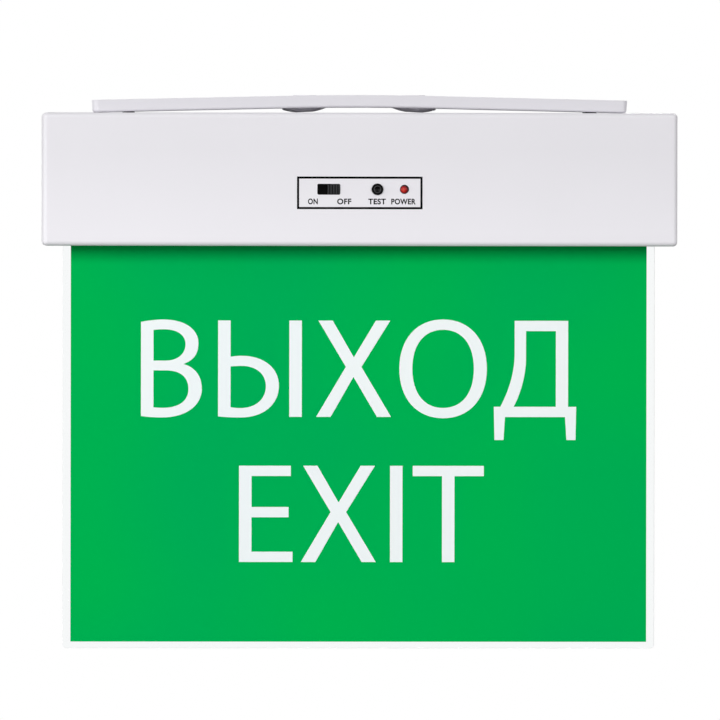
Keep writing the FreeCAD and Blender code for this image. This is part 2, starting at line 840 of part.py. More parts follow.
def rear_cover(doc):
    """Rear half: lip, screw passages, battery cradle, driver board posts and cable clamp seat."""
    body = half_shell(doc, "rear_cover", rear_face, rear_inside)
    ring = [lip_ring(dim.lip_thickness), lip_ring(as_size(0))]
    add(body, "lip", "Y", -dim.lip_height, as_size(0), ring)
    cut_shadow_line(body)
    add_webs(body, "rear", dim.lip_height, rear_inside)
    bosses = [circle(x, z, dim.boss_radius) for x, z in cover_screw_places()]
    add(body, "screw_bosses_rear", "Y", as_size(0), rear_inside, bosses)
    passage = dim.cover_screw_radius + dim.screw_clearance
    passages = [circle(x, z, passage) for x, z in cover_screw_places()]
    cut(body, "screw_passages", "Y", as_size(0), dim.cover_screw_grip, passages)
    head_room = dim.cover_head_radius + dim.screw_clearance
    wells = [circle(x, z, head_room) for x, z in cover_screw_places()]
    cut(body, "screw_wells", "Y", dim.cover_screw_grip, rear_face, wells)
    seats = [circle(s * dim.peg_place, peg_level, dim.peg_seat_radius) for s in (-1, 1)]
    add(body, "panel_seats_rear", "Y", panel_rear, rear_inside, seats)
    recess = dim.peg_radius + dim.peg_clearance
    recess_end = panel_front + dim.peg_length + dim.pilot_tip_gap
    recesses = [circle(s * dim.peg_place, peg_level, recess) for s in (-1, 1)]
    cut(body, "peg_recesses", "Y", panel_rear, recess_end, recesses)
    add_saddles(body, "rear", 1, rear_inside)
    add_battery_cradle(body)
    places = driver_board_screw_places()
    posts = [circle(x, z, dim.board_boss_radius) for x, z in places]
    add(body, "driver_posts", "Y", driver_board_rear, rear_inside, posts)
    cut_board_pilots(body, "driver_post", places, driver_board_rear, 1)
    add_clamp_seat(body)
    slot_end = panel_half_width + dim.panel_clearance
    slot = [rectangle(-slot_end, slot_end, -dim.lip_height, slot_half_depth())]
    cut(body, "panel_slot_rear", "Z", housing_foot, inside_foot, slot)
    cut_clip_slots(body, "rear", 1)
    entry = [circle(0, dim.cable_entry_place, dim.cable_entry_radius)]
    cut(body, "cable_entry", "Z", inside_top, housing_top, entry)
    return body


def cut_shadow_line(body):
    """A fine groove all round, just behind the parting plane, that hides a small mismatch."""
    half = housing_half_width
    inset = dim.shadow_line_depth
    radius = dim.housing_corner_radius - inset
    bed = rounded(-half + inset, half - inset, housing_foot + inset, housing_top - inset, radius)
    rings = [rectangle(-half, half, housing_foot, housing_top), bed]
    cut(body, "shadow_line", "Y", as_size(0), dim.shadow_line_width, rings)


def add_battery_cradle(body):
    """A low wall round the battery pack, and two posts for its strap."""
    half = dim.cell_length / 2 + dim.cradle_clearance
    rise = battery_half_height + dim.cradle_clearance
    middle = battery_place
    wall = dim.cradle_wall
    inner = rectangle(middle - half, middle + half, battery_level - rise, battery_level + rise)
    outer = rectangle(
        middle - half - wall, middle + half + wall,
        battery_level - rise - wall, battery_level + rise + wall,
    )
    start = rear_inside - dim.cradle_height
    add(body, "battery_cradle", "Y", start, rear_inside, [outer, inner])
    posts = [circle(x, z, dim.board_boss_radius) for x, z in strap_screw_places()]
    add(body, "strap_posts", "Y", battery_front, rear_inside, posts)
    cut_board_pilots(body, "strap_post", strap_screw_places(), battery_front, 1)


def add_clamp_seat(body):
    """Two posts and a grooved rest, where the supply cable is clamped below its entry."""
    posts = [circle(x, z, dim.board_boss_radius) for x, z in clamp_screw_places()]
    add(body, "clamp_posts", "Y", clamp_bar_rear, rear_inside, posts)
    half = dim.clamp_screw_spacing / 2
    rise = dim.clamp_width / 2
    rest = [rectangle(-half, half, clamp_level - rise, clamp_level + rise)]
    rest_front = as_size(0) + dim.cable_entry_place
    add(body, "cable_rest", "Y", rest_front, rear_inside, rest)
    groove = [circle(0, dim.cable_entry_place, dim.clamp_cable_radius)]
    cut(body, "cable_groove", "Z", clamp_level - rise, clamp_level + rise, groove)
    cut_board_pilots(body, "clamp_post", clamp_screw_places(), clamp_bar_rear, 1)


# ---------------------------------------------------------------- fasteners


def group(doc, label, members):
    """One node that holds several like solids."""
    compound = doc.addObject("Part::Compound", label)
    compound.Label = label
    compound.Links = members
    return compound


def pan_screw(doc, label, x, z, seat, side, shank):
    """A pan-head screw along Y; side says which way the shank points from the seat."""
    radius, length, head_radius, head_height = shank
    body = new_body(doc, label)
    tip = seat + side * length
    shoulder = tip - side * radius
    rim = seat - side * head_height / 2
    crown = seat - side * head_height
    rise = head_height / 2
    dome = (head_radius * head_radius + rise * rise) / (rise * 2)
    corners = [
        (0, tip), (radius, shoulder), (radius, seat),
        (head_radius, seat), (head_radius, rim), (0, crown),
    ]
    profile = outline(corners, {4: (dome, side)})
    spun(body, label + "_turned", "Revolution", x, z, [profile])
    return body


def screws(doc, label, places, seat, side, shank):
    """A group of like screws."""
    members = []
    for number, (x, z) in enumerate(places, start=1):
        name = "%s_%d" % (label, number)
        members.append(pan_screw(doc, name, x, z, seat, side, shank))
    return group(doc, label, members)


def cover_screws(doc):
    """Six screws that join the halves, with their heads deep in the rear cover."""
    shank = (
        dim.cover_screw_radius, dim.cover_screw_length, dim.cover_head_radius,
        dim.cover_head_height,
    )
    return screws(doc, "cover_screws", cover_screw_places(), dim.cover_screw_grip, -1, shank)


def small_screws(doc, label, places, seat, side):
    """A group of the small screws that hold boards, strap and clamp."""
    shank = (
        dim.board_screw_radius, dim.board_screw_length, dim.board_head_radius,
        dim.board_head_height,
    )
    return screws(doc, label, places, seat, side, shank)


# ---------------------------------------------------------------- sign panel and its light


def sign_panel(doc):
    """A clear sheet with round lower corners and two holes for the housing's pegs."""
    body = new_body(doc, "sign_panel")
    half = panel_half_width
    add(body, "sheet", "Y", panel_front, panel_rear, [rectangle(-half, half, panel_foot, panel_top)])
    round_edges(
        body,
        "sheet_corners",
        dim.panel_corner_radius,
        lambda e: along(e, "Y") and near(e.CenterOfMass.z, panel_foot),
    )
    hole = dim.peg_radius + dim.peg_clearance
    holes = [circle(s * dim.peg_place, peg_level, hole) for s in (-1, 1)]
    cut(body, "peg_holes", "Y", panel_front, panel_rear, holes)
    return body


def sign_film(doc, label, start, end):
    """A film on one face of the panel, with its top tucked up into the housing."""
    body = new_body(doc, label)
    half = panel_half_width - dim.film_side_margin
    low = panel_foot + dim.film_foot_margin
    sheet = [rectangle(-half, half, low, housing_foot + dim.film_tuck)]
    add(body, label + "_sheet", "Y", start, end, sheet)
    return body


def led_channel(doc):
    """An extruded channel that grips the panel's top edge and holds the light strip over it."""
    body = new_body(doc, "led_channel")
    inner = dim.channel_inner_width / 2
    grip = panel_rear + dim.channel_clearance
    foot = panel_top - dim.channel_grip
    lip = foot + dim.channel_wall
    right = [
        (inner, channel_inside_top), (inner, lip), (grip, lip), (grip, foot),
        (channel_half_width, foot), (channel_half_width, channel_top),
    ]
    left = [(-across, level) for across, level in reversed(right)]
    half = channel_half_length
    add(body, "extrusion", "X", -half, half, [outline(right + left)])
    return body


def led_strip_board(doc):
    """The strip's narrow board, under the web of the channel."""
    body = new_body(doc, "led_strip_board")
    half = channel_half_length
    across = dim.strip_width / 2
    strip = [rectangle(-half, half, -across, across)]
    add(body, "strip", "Z", strip_underside, channel_inside_top, strip)
    return body


def led_chips(doc):
    """The row of light chips under the strip, facing the panel's edge."""
    body = new_body(doc, "led_chips")
    body.AllowCompound = True
    count = DRIVING["chip_count"]
    half = dim.chip_width / 2
    across = dim.chip_depth / 2
    reach = channel_half_length - dim.chip_end_margin
    chips = []
    for number in range(int(count)):
        place = reach * (number * 2 / (count - 1) - 1)
        chips.append(rectangle(place - half, place + half, -across, across))
    add(body, "chips", "Z", panel_top + dim.chip_gap, strip_underside, chips)
    return body


# ---------------------------------------------------------------- controls


def board(doc, label, centre, level, width, rise, start, end, places):
    """A circuit board on edge, with a hole for each of its screws."""
    body = new_body(doc, label)
    half = width / 2
    half_rise = rise / 2
    sheet = rectangle(centre - half, centre + half, level - half_rise, level + half_rise)
    hole = dim.board_screw_radius + dim.screw_clearance
    holes = [circle(x, z, hole) for x, z in places]
    add(body, label + "_sheet", "Y", start, end, [sheet] + holes)
    return body


def control_board(doc):
    """The board behind the front face, which carries switch, button switch and indicator."""
    return board(
        doc, "control_board", dim.control_board_place, controls_level, dim.control_board_width,
        dim.control_board_height, control_board_front, control_board_rear,
        control_board_screw_places(),
    )


def knob_travel():
    """How far the knob slides in its window."""
    return dim.switch_window_width - dim.knob_clearance * 2 - dim.knob_width


def switch_body_front():
    """The face of the slide switch, behind the knob."""
    return control_board_front - dim.switch_body_depth


def switch_body(doc):
    """The slide switch's case, with the slot that its slider's stem runs in."""
    body = new_body(doc, "switch_body")
    half = dim.switch_body_width / 2
    rise = dim.switch_body_height / 2
    front = switch_body_front()
    middle = dim.switch_place
    case = [rectangle(middle - half, middle + half, controls_level - rise, controls_level + rise)]
    add(body, "switch_case", "Y", front, control_board_front, case)
    reach = knob_travel() / 2 + dim.knob_stem / 2 + dim.knob_clearance
    stem_rise = dim.knob_stem / 2 + dim.knob_clearance
    slot = rectangle(
        middle - reach, middle + reach, controls_level - stem_rise, controls_level + stem_rise
    )
    cut(body, "stem_slot", "Y", front, front + dim.knob_stem_length, [slot])
    return body


def switch_knob(doc):
    """The ribbed knob, at rest at the OFF end of its window."""
    body = new_body(doc, "switch_knob")
    right = dim.switch_place + dim.switch_window_width / 2 - dim.knob_clearance
    left = right - dim.knob_width
    centre = right - dim.knob_width / 2
    rise = dim.switch_window_height / 2 - dim.knob_clearance
    low = controls_level - rise
    high = controls_level + rise
    face = front_face - dim.knob_proud
    back = switch_body_front() - dim.knob_clearance
    radius = dim.switch_window_radius - dim.knob_clearance
    add(body, "knob_block", "Y", face, back, [rounded(left, right, low, high, radius)])
    half = dim.knob_stem / 2
    stem = rectangle(centre - half, centre + half, controls_level - half, controls_level + half)
    add(body, "knob_stem_pad", "Y", back, back + dim.knob_stem_length, [stem])
    count = DRIVING["knob_groove_count"]
    groove_half = dim.knob_groove_width / 2
    grooves = []
    for number in range(int(count)):
        place = centre + dim.knob_groove_pitch * (number - (count - 1) / 2)
        grooves.append(rectangle(place - groove_half, place + groove_half, low, high))
    cut(body, "knob_grooves", "Y", face, face + dim.knob_groove_depth, grooves)
    return body


def test_body_front():
    """The face of the button's switch."""
    return control_board_front - dim.test_body_depth


def test_switch_body(doc):
    """The push switch behind the button, bored for its plunger."""
    body = new_body(doc, "test_switch_body")
    half = dim.test_body_width / 2
    middle = dim.button_place
    case = rectangle(middle - half, middle + half, controls_level - half, controls_level + half)
    bore = circle(middle, controls_level, dim.plunger_radius + dim.plunger_clearance)
    add(body, "test_case", "Y", test_body_front(), control_board_front, [case, bore])
    return body


def button_neck_end():
    """Where the button's neck ends, clear of the switch when it is pressed."""
    return test_body_front() - dim.button_travel - dim.button_stop_gap


def test_plunger(doc):
    """The push switch's plunger, held in the button's neck."""
    body = new_body(doc, "test_plunger")
    start = button_neck_end() - dim.plunger_grip
    end = control_board_front - dim.button_travel - dim.button_stop_gap
    pin_outline = [circle(dim.button_place, controls_level, dim.plunger_radius)]
    add(body, "plunger_pin", "Y", start, end, pin_outline)
    return body


def test_button(doc):
    """The button cap: a dished head, a flange behind the wall and a neck with a socket."""
    body = new_body(doc, "test_button")
    face = front_face - dim.button_proud
    seat = front_inside + dim.seat_gap
    flange_end = seat + dim.button_flange_height
    end = button_neck_end()
    socket = end - dim.plunger_grip
    bore = dim.plunger_radius + dim.plunger_clearance
    dish = dim.button_dish_radius
    corners = [
        (0, face + dim.button_dish_depth), (dish, face), (dim.button_radius, face),
        (dim.button_radius, seat), (dim.button_flange_radius, seat),
        (dim.button_flange_radius, flange_end), (dim.button_neck_radius, flange_end),
        (dim.button_neck_radius, end), (bore, end), (bore, socket), (0, socket),
    ]
    spun(body, "button_turned", "Revolution", dim.button_place, controls_level, [outline(corners)])
    return body


def led_base():
    """The rear of the indicator's flange."""
    return front_face - dim.led_proud + dim.led_length


def power_led(doc):
    """A round indicator: flange, barrel and dome."""
    body = new_body(doc, "power_led")
    tip = front_face - dim.led_proud
    base = led_base()
    flange = base - dim.led_flange_height
    radius = dim.led_radius
    corners = [
        (0, base), (dim.led_flange_radius, base), (dim.led_flange_radius, flange),
        (radius, flange), (radius, tip + radius), (0, tip),
    ]
    profile = outline(corners, {4: (radius, 1)})
    spun(body, "led_turned", "Revolution", dim.led_place, controls_level, [profile])
    return body


def led_spacer(doc):
    """A tube that stands the indicator off its board."""
    body = new_body(doc, "led_spacer")
    ring = [
        circle(dim.led_place, controls_level, dim.led_flange_radius),
        circle(dim.led_place, controls_level, dim.led_flange_radius / 2),
    ]
    add(body, "spacer_ring", "Y", led_base(), control_board_front, ring)
    return body


# ---------------------------------------------------------------- supply and battery


def driver_board(doc):
    """The board that charges the battery and feeds the light, on the rear cover."""
    return board(
        doc, "driver_board", driver_board_place, driver_board_level, dim.driver_board_width,
        dim.driver_board_height, driver_board_front, driver_board_rear,
        driver_board_screw_places(),
    )


def transformer_core(doc):
    """A laminated core with two windows beside its middle leg."""
    body = new_body(doc, "transformer_core")
    middle = driver_board_place + dim.transformer_place
    half = dim.transformer_width / 2
    rise = dim.transformer_height / 2
    leg = dim.transformer_leg
    level = driver_board_level
    centre = driver_board_front - dim.transformer_depth / 2
    block = rectangle(middle - half, middle + half, level - rise, level + rise)
    windows = [
        rectangle(middle - half + leg, middle - leg, level - rise + leg, level + rise - leg),
        rectangle(middle + leg, middle + half - leg, level - rise + leg, level + rise - leg),
    ]
    stack = dim.transformer_stack / 2
    add(body, "core_stack", "Y", centre - stack, centre + stack, [block] + windows)
    return body


def transformer_coil(doc):
    """The winding round the middle leg, standing on the board."""
    body = new_body(doc, "transformer_coil")
    middle = driver_board_place + dim.transformer_place
    clear = dim.coil_clearance
    leg = dim.transformer_leg
    half = dim.transformer_width / 2 - leg - clear
    rise = dim.transformer_height / 2 - leg - clear
    centre = driver_board_front - dim.transformer_depth / 2
    stack = dim.transformer_stack / 2 + clear
    near_end = driver_board_front - dim.transformer_depth
    outer = rectangle(middle - half, middle + half, near_end, driver_board_front)
    inner = rectangle(middle - leg - clear, middle + leg + clear, centre - stack, centre + stack)
    level = driver_board_level
    add(body, "winding", "Z", level - rise, level + rise, [outer, inner])
    return body


def capacitors(doc):
    """Two round capacitors that stand on the driver board."""
    members = []
    middle = driver_board_place + dim.capacitor_place
    end = driver_board_front - dim.capacitor_length
    crimp = driver_board_front - dim.capacitor_crimp * 4
    radius = dim.capacitor_radius
    waist = radius - dim.capacitor_crimp
    corners = [
        (0, driver_board_front), (radius, driver_board_front),
        (radius, crimp + dim.capacitor_crimp), (waist, crimp), (radius, crimp - dim.capacitor_crimp),
        (radius, end), (0, end),
    ]
    for number, side in enumerate((-1, 1), start=1):
        body = new_body(doc, "capacitor_%d" % number)
        place = middle + side * dim.capacitor_pitch / 2
        spun(body, "can_%d" % number, "Revolution", place, driver_board_level, [outline(corners)])
        members.append(body)
    return group(doc, "capacitors", members)


def terminal_places():
    """X of each way of the terminal block."""
    middle = driver_board_place + dim.terminal_place
    ways = DRIVING["terminal_ways"]
    return [middle + dim.terminal_pitch * (i - (ways - 1) / 2) for i in range(int(ways))]


def terminal_block(doc):
    """A moulded block with a wire entry below and a screw well in front for each way."""
    body = new_body(doc, "terminal_block")
    half = dim.terminal_pitch * DRIVING["terminal_ways"] / 2
    middle = driver_board_place + dim.terminal_place
    rise = dim.terminal_height / 2
    level = driver_board_level
    front = driver_board_front - dim.terminal_depth
    case = [rectangle(middle - half, middle + half, level - rise, level + rise)]
    add(body, "terminal_case", "Y", front, driver_board_front, case)
    wire_place = driver_board_front - dim.terminal_wire_radius * 2
    wires = [circle(x, wire_place, dim.terminal_wire_radius) for x in terminal_places()]
    cut(body, "wire_entries", "Z", level - rise, level + rise / 2, wires)
    well = dim.terminal_screw_radius + dim.screw_clearance
    wells = [circle(x, level, well) for x in terminal_places()]
    cut(body, "screw_wells_terminal", "Y", front, front + dim.terminal_screw_length * 1.5, wells)
    return body


def terminal_screws(doc):
    """The clamping screws in the wells of the terminal block."""
    body = new_body(doc, "terminal_screws")
    body.AllowCompound = True
    deep = driver_board_front - dim.terminal_depth + dim.terminal_screw_length * 1.5
    heads = [circle(x, driver_board_level, dim.terminal_screw_radius) for x in terminal_places()]
    add(body, "terminal_heads", "Y", deep - dim.terminal_screw_length, deep, heads)
    return body


def fuse_level():
    """Z of the fuse's axis."""
    return driver_board_level


def fuse_depth():
    """Y of the fuse's axis: it lies on the bases of its clips."""
    return driver_board_front - dim.fuse_clip_thickness - dim.fuse_radius - dim.seat_gap


def fuse(doc):
    """A tube fuse between its two end caps."""
    body = new_body(doc, "fuse")
    middle = driver_board_place + dim.fuse_place
    half = dim.fuse_length / 2
    tube = [circle(fuse_depth(), fuse_level(), dim.fuse_radius - dim.fuse_cap_step)]
    add(body, "fuse_tube", "X", middle - half, middle + half, tube)
    cap = dim.fuse_cap_length
    for side, name in SIDES:
        outer_end = middle + side * half
        inner_end = middle + side * (half - cap)
        start, end = (outer_end, inner_end) if side < 0 else (inner_end, outer_end)
        ring = [circle(fuse_depth(), fuse_level(), dim.fuse_radius)]
        add(body, "fuse_cap_" + name, "X", start, end, ring)
    return body


def fuse_clips(doc):
    """Two spring clips that hold the fuse's caps."""
    body = new_body(doc, "fuse_clips")
    body.AllowCompound = True
    middle = driver_board_place + dim.fuse_place
    thickness = dim.fuse_clip_thickness
    inner = dim.fuse_radius + dim.seat_gap
    outer = inner + thickness
    level = fuse_level()
    end = fuse_depth() - dim.fuse_radius / 2
    base = driver_board_front - thickness
    corners = [
        (driver_board_front, level - outer), (driver_board_front, level + outer),
        (end, level + outer), (end, level + inner), (base, level + inner),
        (base, level - inner), (end, level - inner), (end, level - outer),
    ]
    reach = dim.fuse_length / 2 - dim.fuse_cap_length / 2
    half = dim.fuse_clip_width / 2
    for side, name in SIDES:
        place = middle + side * reach
        add(body, "clip_" + name, "X", place - half, place + half, [outline(corners)])
    return body


def battery_pack(doc):
    """Cells side by side in one shrink wrap, lying along the housing."""
    body = new_body(doc, "battery_pack")
    half = dim.cell_length / 2
    low = battery_level - battery_half_height
    high = battery_level + battery_half_height
    wrap = rounded(battery_front, rear_inside, low, high, dim.cell_radius - dim.wrap_flat)
    add(body, "wrap", "X", battery_place - half, battery_place + half, [wrap])
    round_edges(
        body,
        "wrap_ends",
        dim.wrap_radius,
        lambda e: e.BoundBox.XLength < 1e-6,
    )
    return body


def battery_strap(doc):
    """A strap across the pack, screwed to a post at each end."""
    body = new_body(doc, "battery_strap")
    (left, level), (right, _) = strap_screw_places()
    radius = dim.board_boss_radius
    rise = dim.strap_width / 2
    hole = dim.board_screw_radius + dim.screw_clearance
    band = rounded(left - radius, right + radius, level - rise, level + rise, radius)
    holes = [circle(x, z, hole) for x, z in strap_screw_places()]
    start = battery_front - dim.strap_thickness
    add(body, "strap_band", "Y", start, battery_front, [band] + holes)
    return body


def cable_clamp(doc):
    """The bar that presses the supply cable into its rest."""
    body = new_body(doc, "cable_clamp")
    half = dim.clamp_screw_spacing / 2 + dim.board_boss_radius
    rise = dim.clamp_width / 2
    hole = dim.board_screw_radius + dim.screw_clearance
    bar = rectangle(-half, half, clamp_level - rise, clamp_level + rise)
    holes = [circle(x, z, hole) for x, z in clamp_screw_places()]
    start = clamp_bar_rear - dim.clamp_thickness
    add(body, "clamp_bar", "Y", start, clamp_bar_rear, [bar] + holes)
    return body


# ---------------------------------------------------------------- document


def build():
    """Make the document and every sub-part in it."""
    doc = FreeCAD.newDocument("exit_light")
    make_sheet(doc)
    strap_seat = battery_front - dim.strap_thickness
    clamp_seat = clamp_bar_rear - dim.clamp_thickness
    parts = [
        mounting_plate(doc),
        plate_clips(doc),
        front_shell(doc),
        rear_cover(doc),
        cover_screws(doc),
        sign_panel(doc),
        sign_film(doc, "front_film", panel_front - dim.film_thickness, panel_front),
        sign_film(doc, "rear_film", panel_rear, panel_rear + dim.film_thickness),
        led_channel(doc),
        led_strip_board(doc),
        led_chips(doc),
        control_board(doc),
        small_screws(
            doc, "control_board_screws", control_board_screw_places(), control_board_rear, -1
        ),
        switch_body(doc),
        switch_knob(doc),
        test_switch_body(doc),
        test_plunger(doc),
        test_button(doc),
        power_led(doc),
        led_spacer(doc),
        driver_board(doc),
        small_screws(doc, "driver_board_screws", driver_board_screw_places(), driver_board_front, 1),
        transformer_core(doc),
        transformer_coil(doc),
        capacitors(doc),
        terminal_block(doc),
        terminal_screws(doc),
        fuse(doc),
        fuse_clips(doc),
        battery_pack(doc),
        battery_strap(doc),
        small_screws(doc, "battery_strap_screws", strap_screw_places(), strap_seat, 1),
        cable_clamp(doc),
        small_screws(doc, "cable_clamp_screws", clamp_screw_places(), clamp_seat, 1),
    ]
    doc.recompute()
    return doc, parts


def check(doc, parts):
    """Stop if any object failed or any sub-part has no sound solid."""
    for item in doc.Objects:
        if "Invalid" in item.State or "Error" in item.State:
            raise RuntimeError("%s failed: %s" % (item.Name, item.State))
    for part in parts:
        shape = part.Shape
        if shape.isNull() or not shape.isValid() or not shape.Solids:
            raise RuntimeError("%s has no sound solid" % part.Label)


def main():
    """Build, check and write every sub-part."""
    doc, parts = build()
    check(doc, parts)
    os.makedirs("parts", exist_ok=True)
    for part in parts:
        part.Shape.exportStep(os.path.join("parts", part.Label + ".step"))
    print("%d sub-parts" % len(parts))


main()
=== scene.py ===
"""Looks of the emergency exit light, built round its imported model.

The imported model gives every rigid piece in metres, with X along the housing, -Y the front and
+Z up. This script adds what is printed, stuck or engraved on those pieces, gives every piece its
finish, and sets a plain pale stage with soft light.
"""
import logging
import math
from dataclasses import dataclass, field
from enum import Enum
from typing import Iterable

import bpy
from mathutils import Matrix, Vector


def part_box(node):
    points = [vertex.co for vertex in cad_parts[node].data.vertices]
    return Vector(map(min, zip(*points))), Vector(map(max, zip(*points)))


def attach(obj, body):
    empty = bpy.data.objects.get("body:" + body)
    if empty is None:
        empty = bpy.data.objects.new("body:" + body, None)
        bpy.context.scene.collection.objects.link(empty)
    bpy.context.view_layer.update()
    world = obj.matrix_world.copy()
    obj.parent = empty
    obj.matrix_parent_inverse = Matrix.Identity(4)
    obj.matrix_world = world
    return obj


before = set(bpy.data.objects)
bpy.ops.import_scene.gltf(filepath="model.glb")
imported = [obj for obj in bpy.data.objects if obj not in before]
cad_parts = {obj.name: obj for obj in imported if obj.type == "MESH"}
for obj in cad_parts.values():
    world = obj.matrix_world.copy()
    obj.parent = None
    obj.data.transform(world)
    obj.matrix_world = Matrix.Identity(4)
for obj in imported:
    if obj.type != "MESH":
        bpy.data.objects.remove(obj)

log = logging.getLogger("exit_light")

MM = 0.001
# a wave texture turns through this many radians over one unit, at a scale of 1
WAVE_RADIANS = 20
# steps along each piece of a printed curve
CURVE_STEPS = 16
# points of a printed layer that are nearer than this, in metres, are one point
MERGE_DISTANCE = 1e-6
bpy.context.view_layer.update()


# ---------------------------------------------------------------- helpers


def linear(code: str) -> tuple[float, float, float, float]:
    """Turn an sRGB hex colour into linear RGBA.

    Args:
        code: the colour as six hex digits after a hash.

    Returns:
        Linear red, green, blue and an alpha of 1.
    """
    parts = [int(code[place : place + 2], 16) / 255 for place in (1, 3, 5)]
    red, green, blue = (
        part / 12.92 if part <= 0.04045 else ((part + 0.055) / 1.055) ** 2.4 for part in parts
    )
    return red, green, blue, 1.0


def add_node(
    tree: bpy.types.NodeTree,
    kind: str,
    inputs: dict[str | int, object] | None = None,
    **settings: object,
) -> bpy.types.Node:
    """Add a node with its settings, and fill or link its inputs.

    Args:
        tree: the tree that gets the node.
        kind: the node's type.
        inputs: values, or sockets to link, by the input's name or number.
        settings: properties of the node.

    Returns:
        The new node.
    """
    node = tree.nodes.new(kind)
    for key, value in settings.items():
        setattr(node, key, value)
    for key, value in (inputs or {}).items():
        if isinstance(value, bpy.types.NodeSocket):
            tree.links.new(value, node.inputs[key])
        else:
            node.inputs[key].default_value = value
    return node


def start_material(
    name: str,
) -> tuple[bpy.types.Material, bpy.types.NodeTree, bpy.types.Node, bpy.types.NodeSocket]:
    """Start a finish's material.

    Args:
        name: the material's name.

    Returns:
        The material, its tree, its shader, and the place on the piece that patterns follow.
    """
    material = bpy.data.materials.new(name)
    material.use_nodes = True
    tree = material.node_tree
    place = add_node(tree, "ShaderNodeTexCoord").outputs["Object"]
    return material, tree, tree.nodes["Principled BSDF"], place


def scaled(colour: tuple[float, ...], factor: float) -> tuple[float, ...]:
    """A linear colour made darker or lighter, with its alpha kept."""
    return tuple(min(1.0, part * factor) for part in colour[:3]) + colour[3:]


def deselect_all() -> None:
    """Leave nothing selected, so that an operator acts on its own piece alone."""
    bpy.ops.object.select_all(action="DESELECT")


def pick(piece: bpy.types.Object) -> None:
    """Select one piece alone and make it active.

    Args:
        piece: the piece that the next operators act on.
    """
    deselect_all()
    piece.select_set(True)
    bpy.context.view_layer.objects.active = piece


def apply_place(piece: bpy.types.Object) -> None:
    """Move a piece's place, turn and scale into its mesh."""
    pick(piece)
    bpy.ops.object.transform_apply(location=True, rotation=True, scale=True)


def dress(piece: bpy.types.Object, material: bpy.types.Material) -> None:
    """Give a piece one material on all of its faces.

    Args:
        piece: a packed or a new piece.
        material: the material that it gets.
    """
    piece.data.materials.clear()
    piece.data.materials.append(material)
    for face in piece.data.polygons:
        face.material_index = 0


# ---------------------------------------------------------------- finishes


class Grain(Enum):
    """How a moulded or cast surface breaks up the light."""

    SPARKED = "sparked"
    POLISHED = "polished"


@dataclass(frozen=True)
class MouldedPlastic:
    """Injection-moulded plastic: an even colour under a fine sparked or polished skin, which
    painted light can make lighter towards the foot.
    """

    name: str
    colour: str
    roughness: float = 0.42
    gloss: float = 0.5
    grain: Grain = Grain.SPARKED
    grain_mm: float = 0.45
    relief_mm: float = 0.006
    cloud_mm: float = 60.0
    cloud_share: float = 0.02
    skin_spread: float = 0.1
    ior: float = 1.5
    # painted light: how much lighter the colour is painted at the foot, and the height span in
    # millimetres over which that fades
    painted_foot_light: float = 0.0
    painted_light_span_mm: tuple[float, float] = (-75.0, -30.0)

    def make(self) -> bpy.types.Material:
        """Build the material.

        Returns:
            The material, with its grain as a shallow bump and a faint cloud in its colour, and
            where asked for, painted light that makes its colour lighter towards the foot.
        """
        material, tree, shader, place = start_material(self.name)
        cloud = add_node(
            tree, "ShaderNodeTexNoise",
            {"Vector": place, "Scale": 1 / (self.cloud_mm * MM), "Detail": 2.0},
        )
        base = linear(self.colour)
        darker, lighter = scaled(base, 1 - self.cloud_share), scaled(base, 1 + self.cloud_share)
        colour = add_node(
            tree, "ShaderNodeMix", {0: cloud.outputs["Fac"], 6: darker, 7: lighter},
            data_type="RGBA",
        )
        # painted light: the colour is scaled up towards the low end of the height span, standing
        # in for the studio light that falls more on the lower housing
        low, high = self.painted_light_span_mm
        height = add_node(tree, "ShaderNodeSeparateXYZ", {"Vector": place}).outputs["Z"]
        lift = add_node(
            tree, "ShaderNodeMapRange",
            {
                "Value": height, "From Min": low * MM, "From Max": high * MM,
                "To Min": 1 + self.painted_foot_light, "To Max": 1.0,
            },
        )
        painted_light_colour = add_node(
            tree, "ShaderNodeVectorMath",
            {0: colour.outputs[2], "Scale": lift.outputs["Result"]}, operation="SCALE",
        )
        tree.links.new(painted_light_colour.outputs[0], shader.inputs["Base Color"])
        skin = add_node(
            tree, "ShaderNodeTexNoise",
            {"Vector": place, "Scale": 1 / (self.grain_mm * MM), "Detail": 3.0},
        )
        rough = add_node(
            tree, "ShaderNodeMapRange",
            {
                "Value": skin.outputs["Fac"],
                "To Min": self.roughness * (1 - self.skin_spread),
                "To Max": self.roughness * (1 + self.skin_spread),
            },
        )
        tree.links.new(rough.outputs["Result"], shader.inputs["Roughness"])
        if self.grain is Grain.SPARKED:
            bump = add_node(
                tree, "ShaderNodeBump",
                {"Height": skin.outputs["Fac"], "Distance": self.relief_mm * MM},
            )
            tree.links.new(bump.outputs["Normal"], shader.inputs["Normal"])
        shader.inputs["Specular IOR Level"].default_value = self.gloss
        shader.inputs["IOR"].default_value = self.ior
        return material


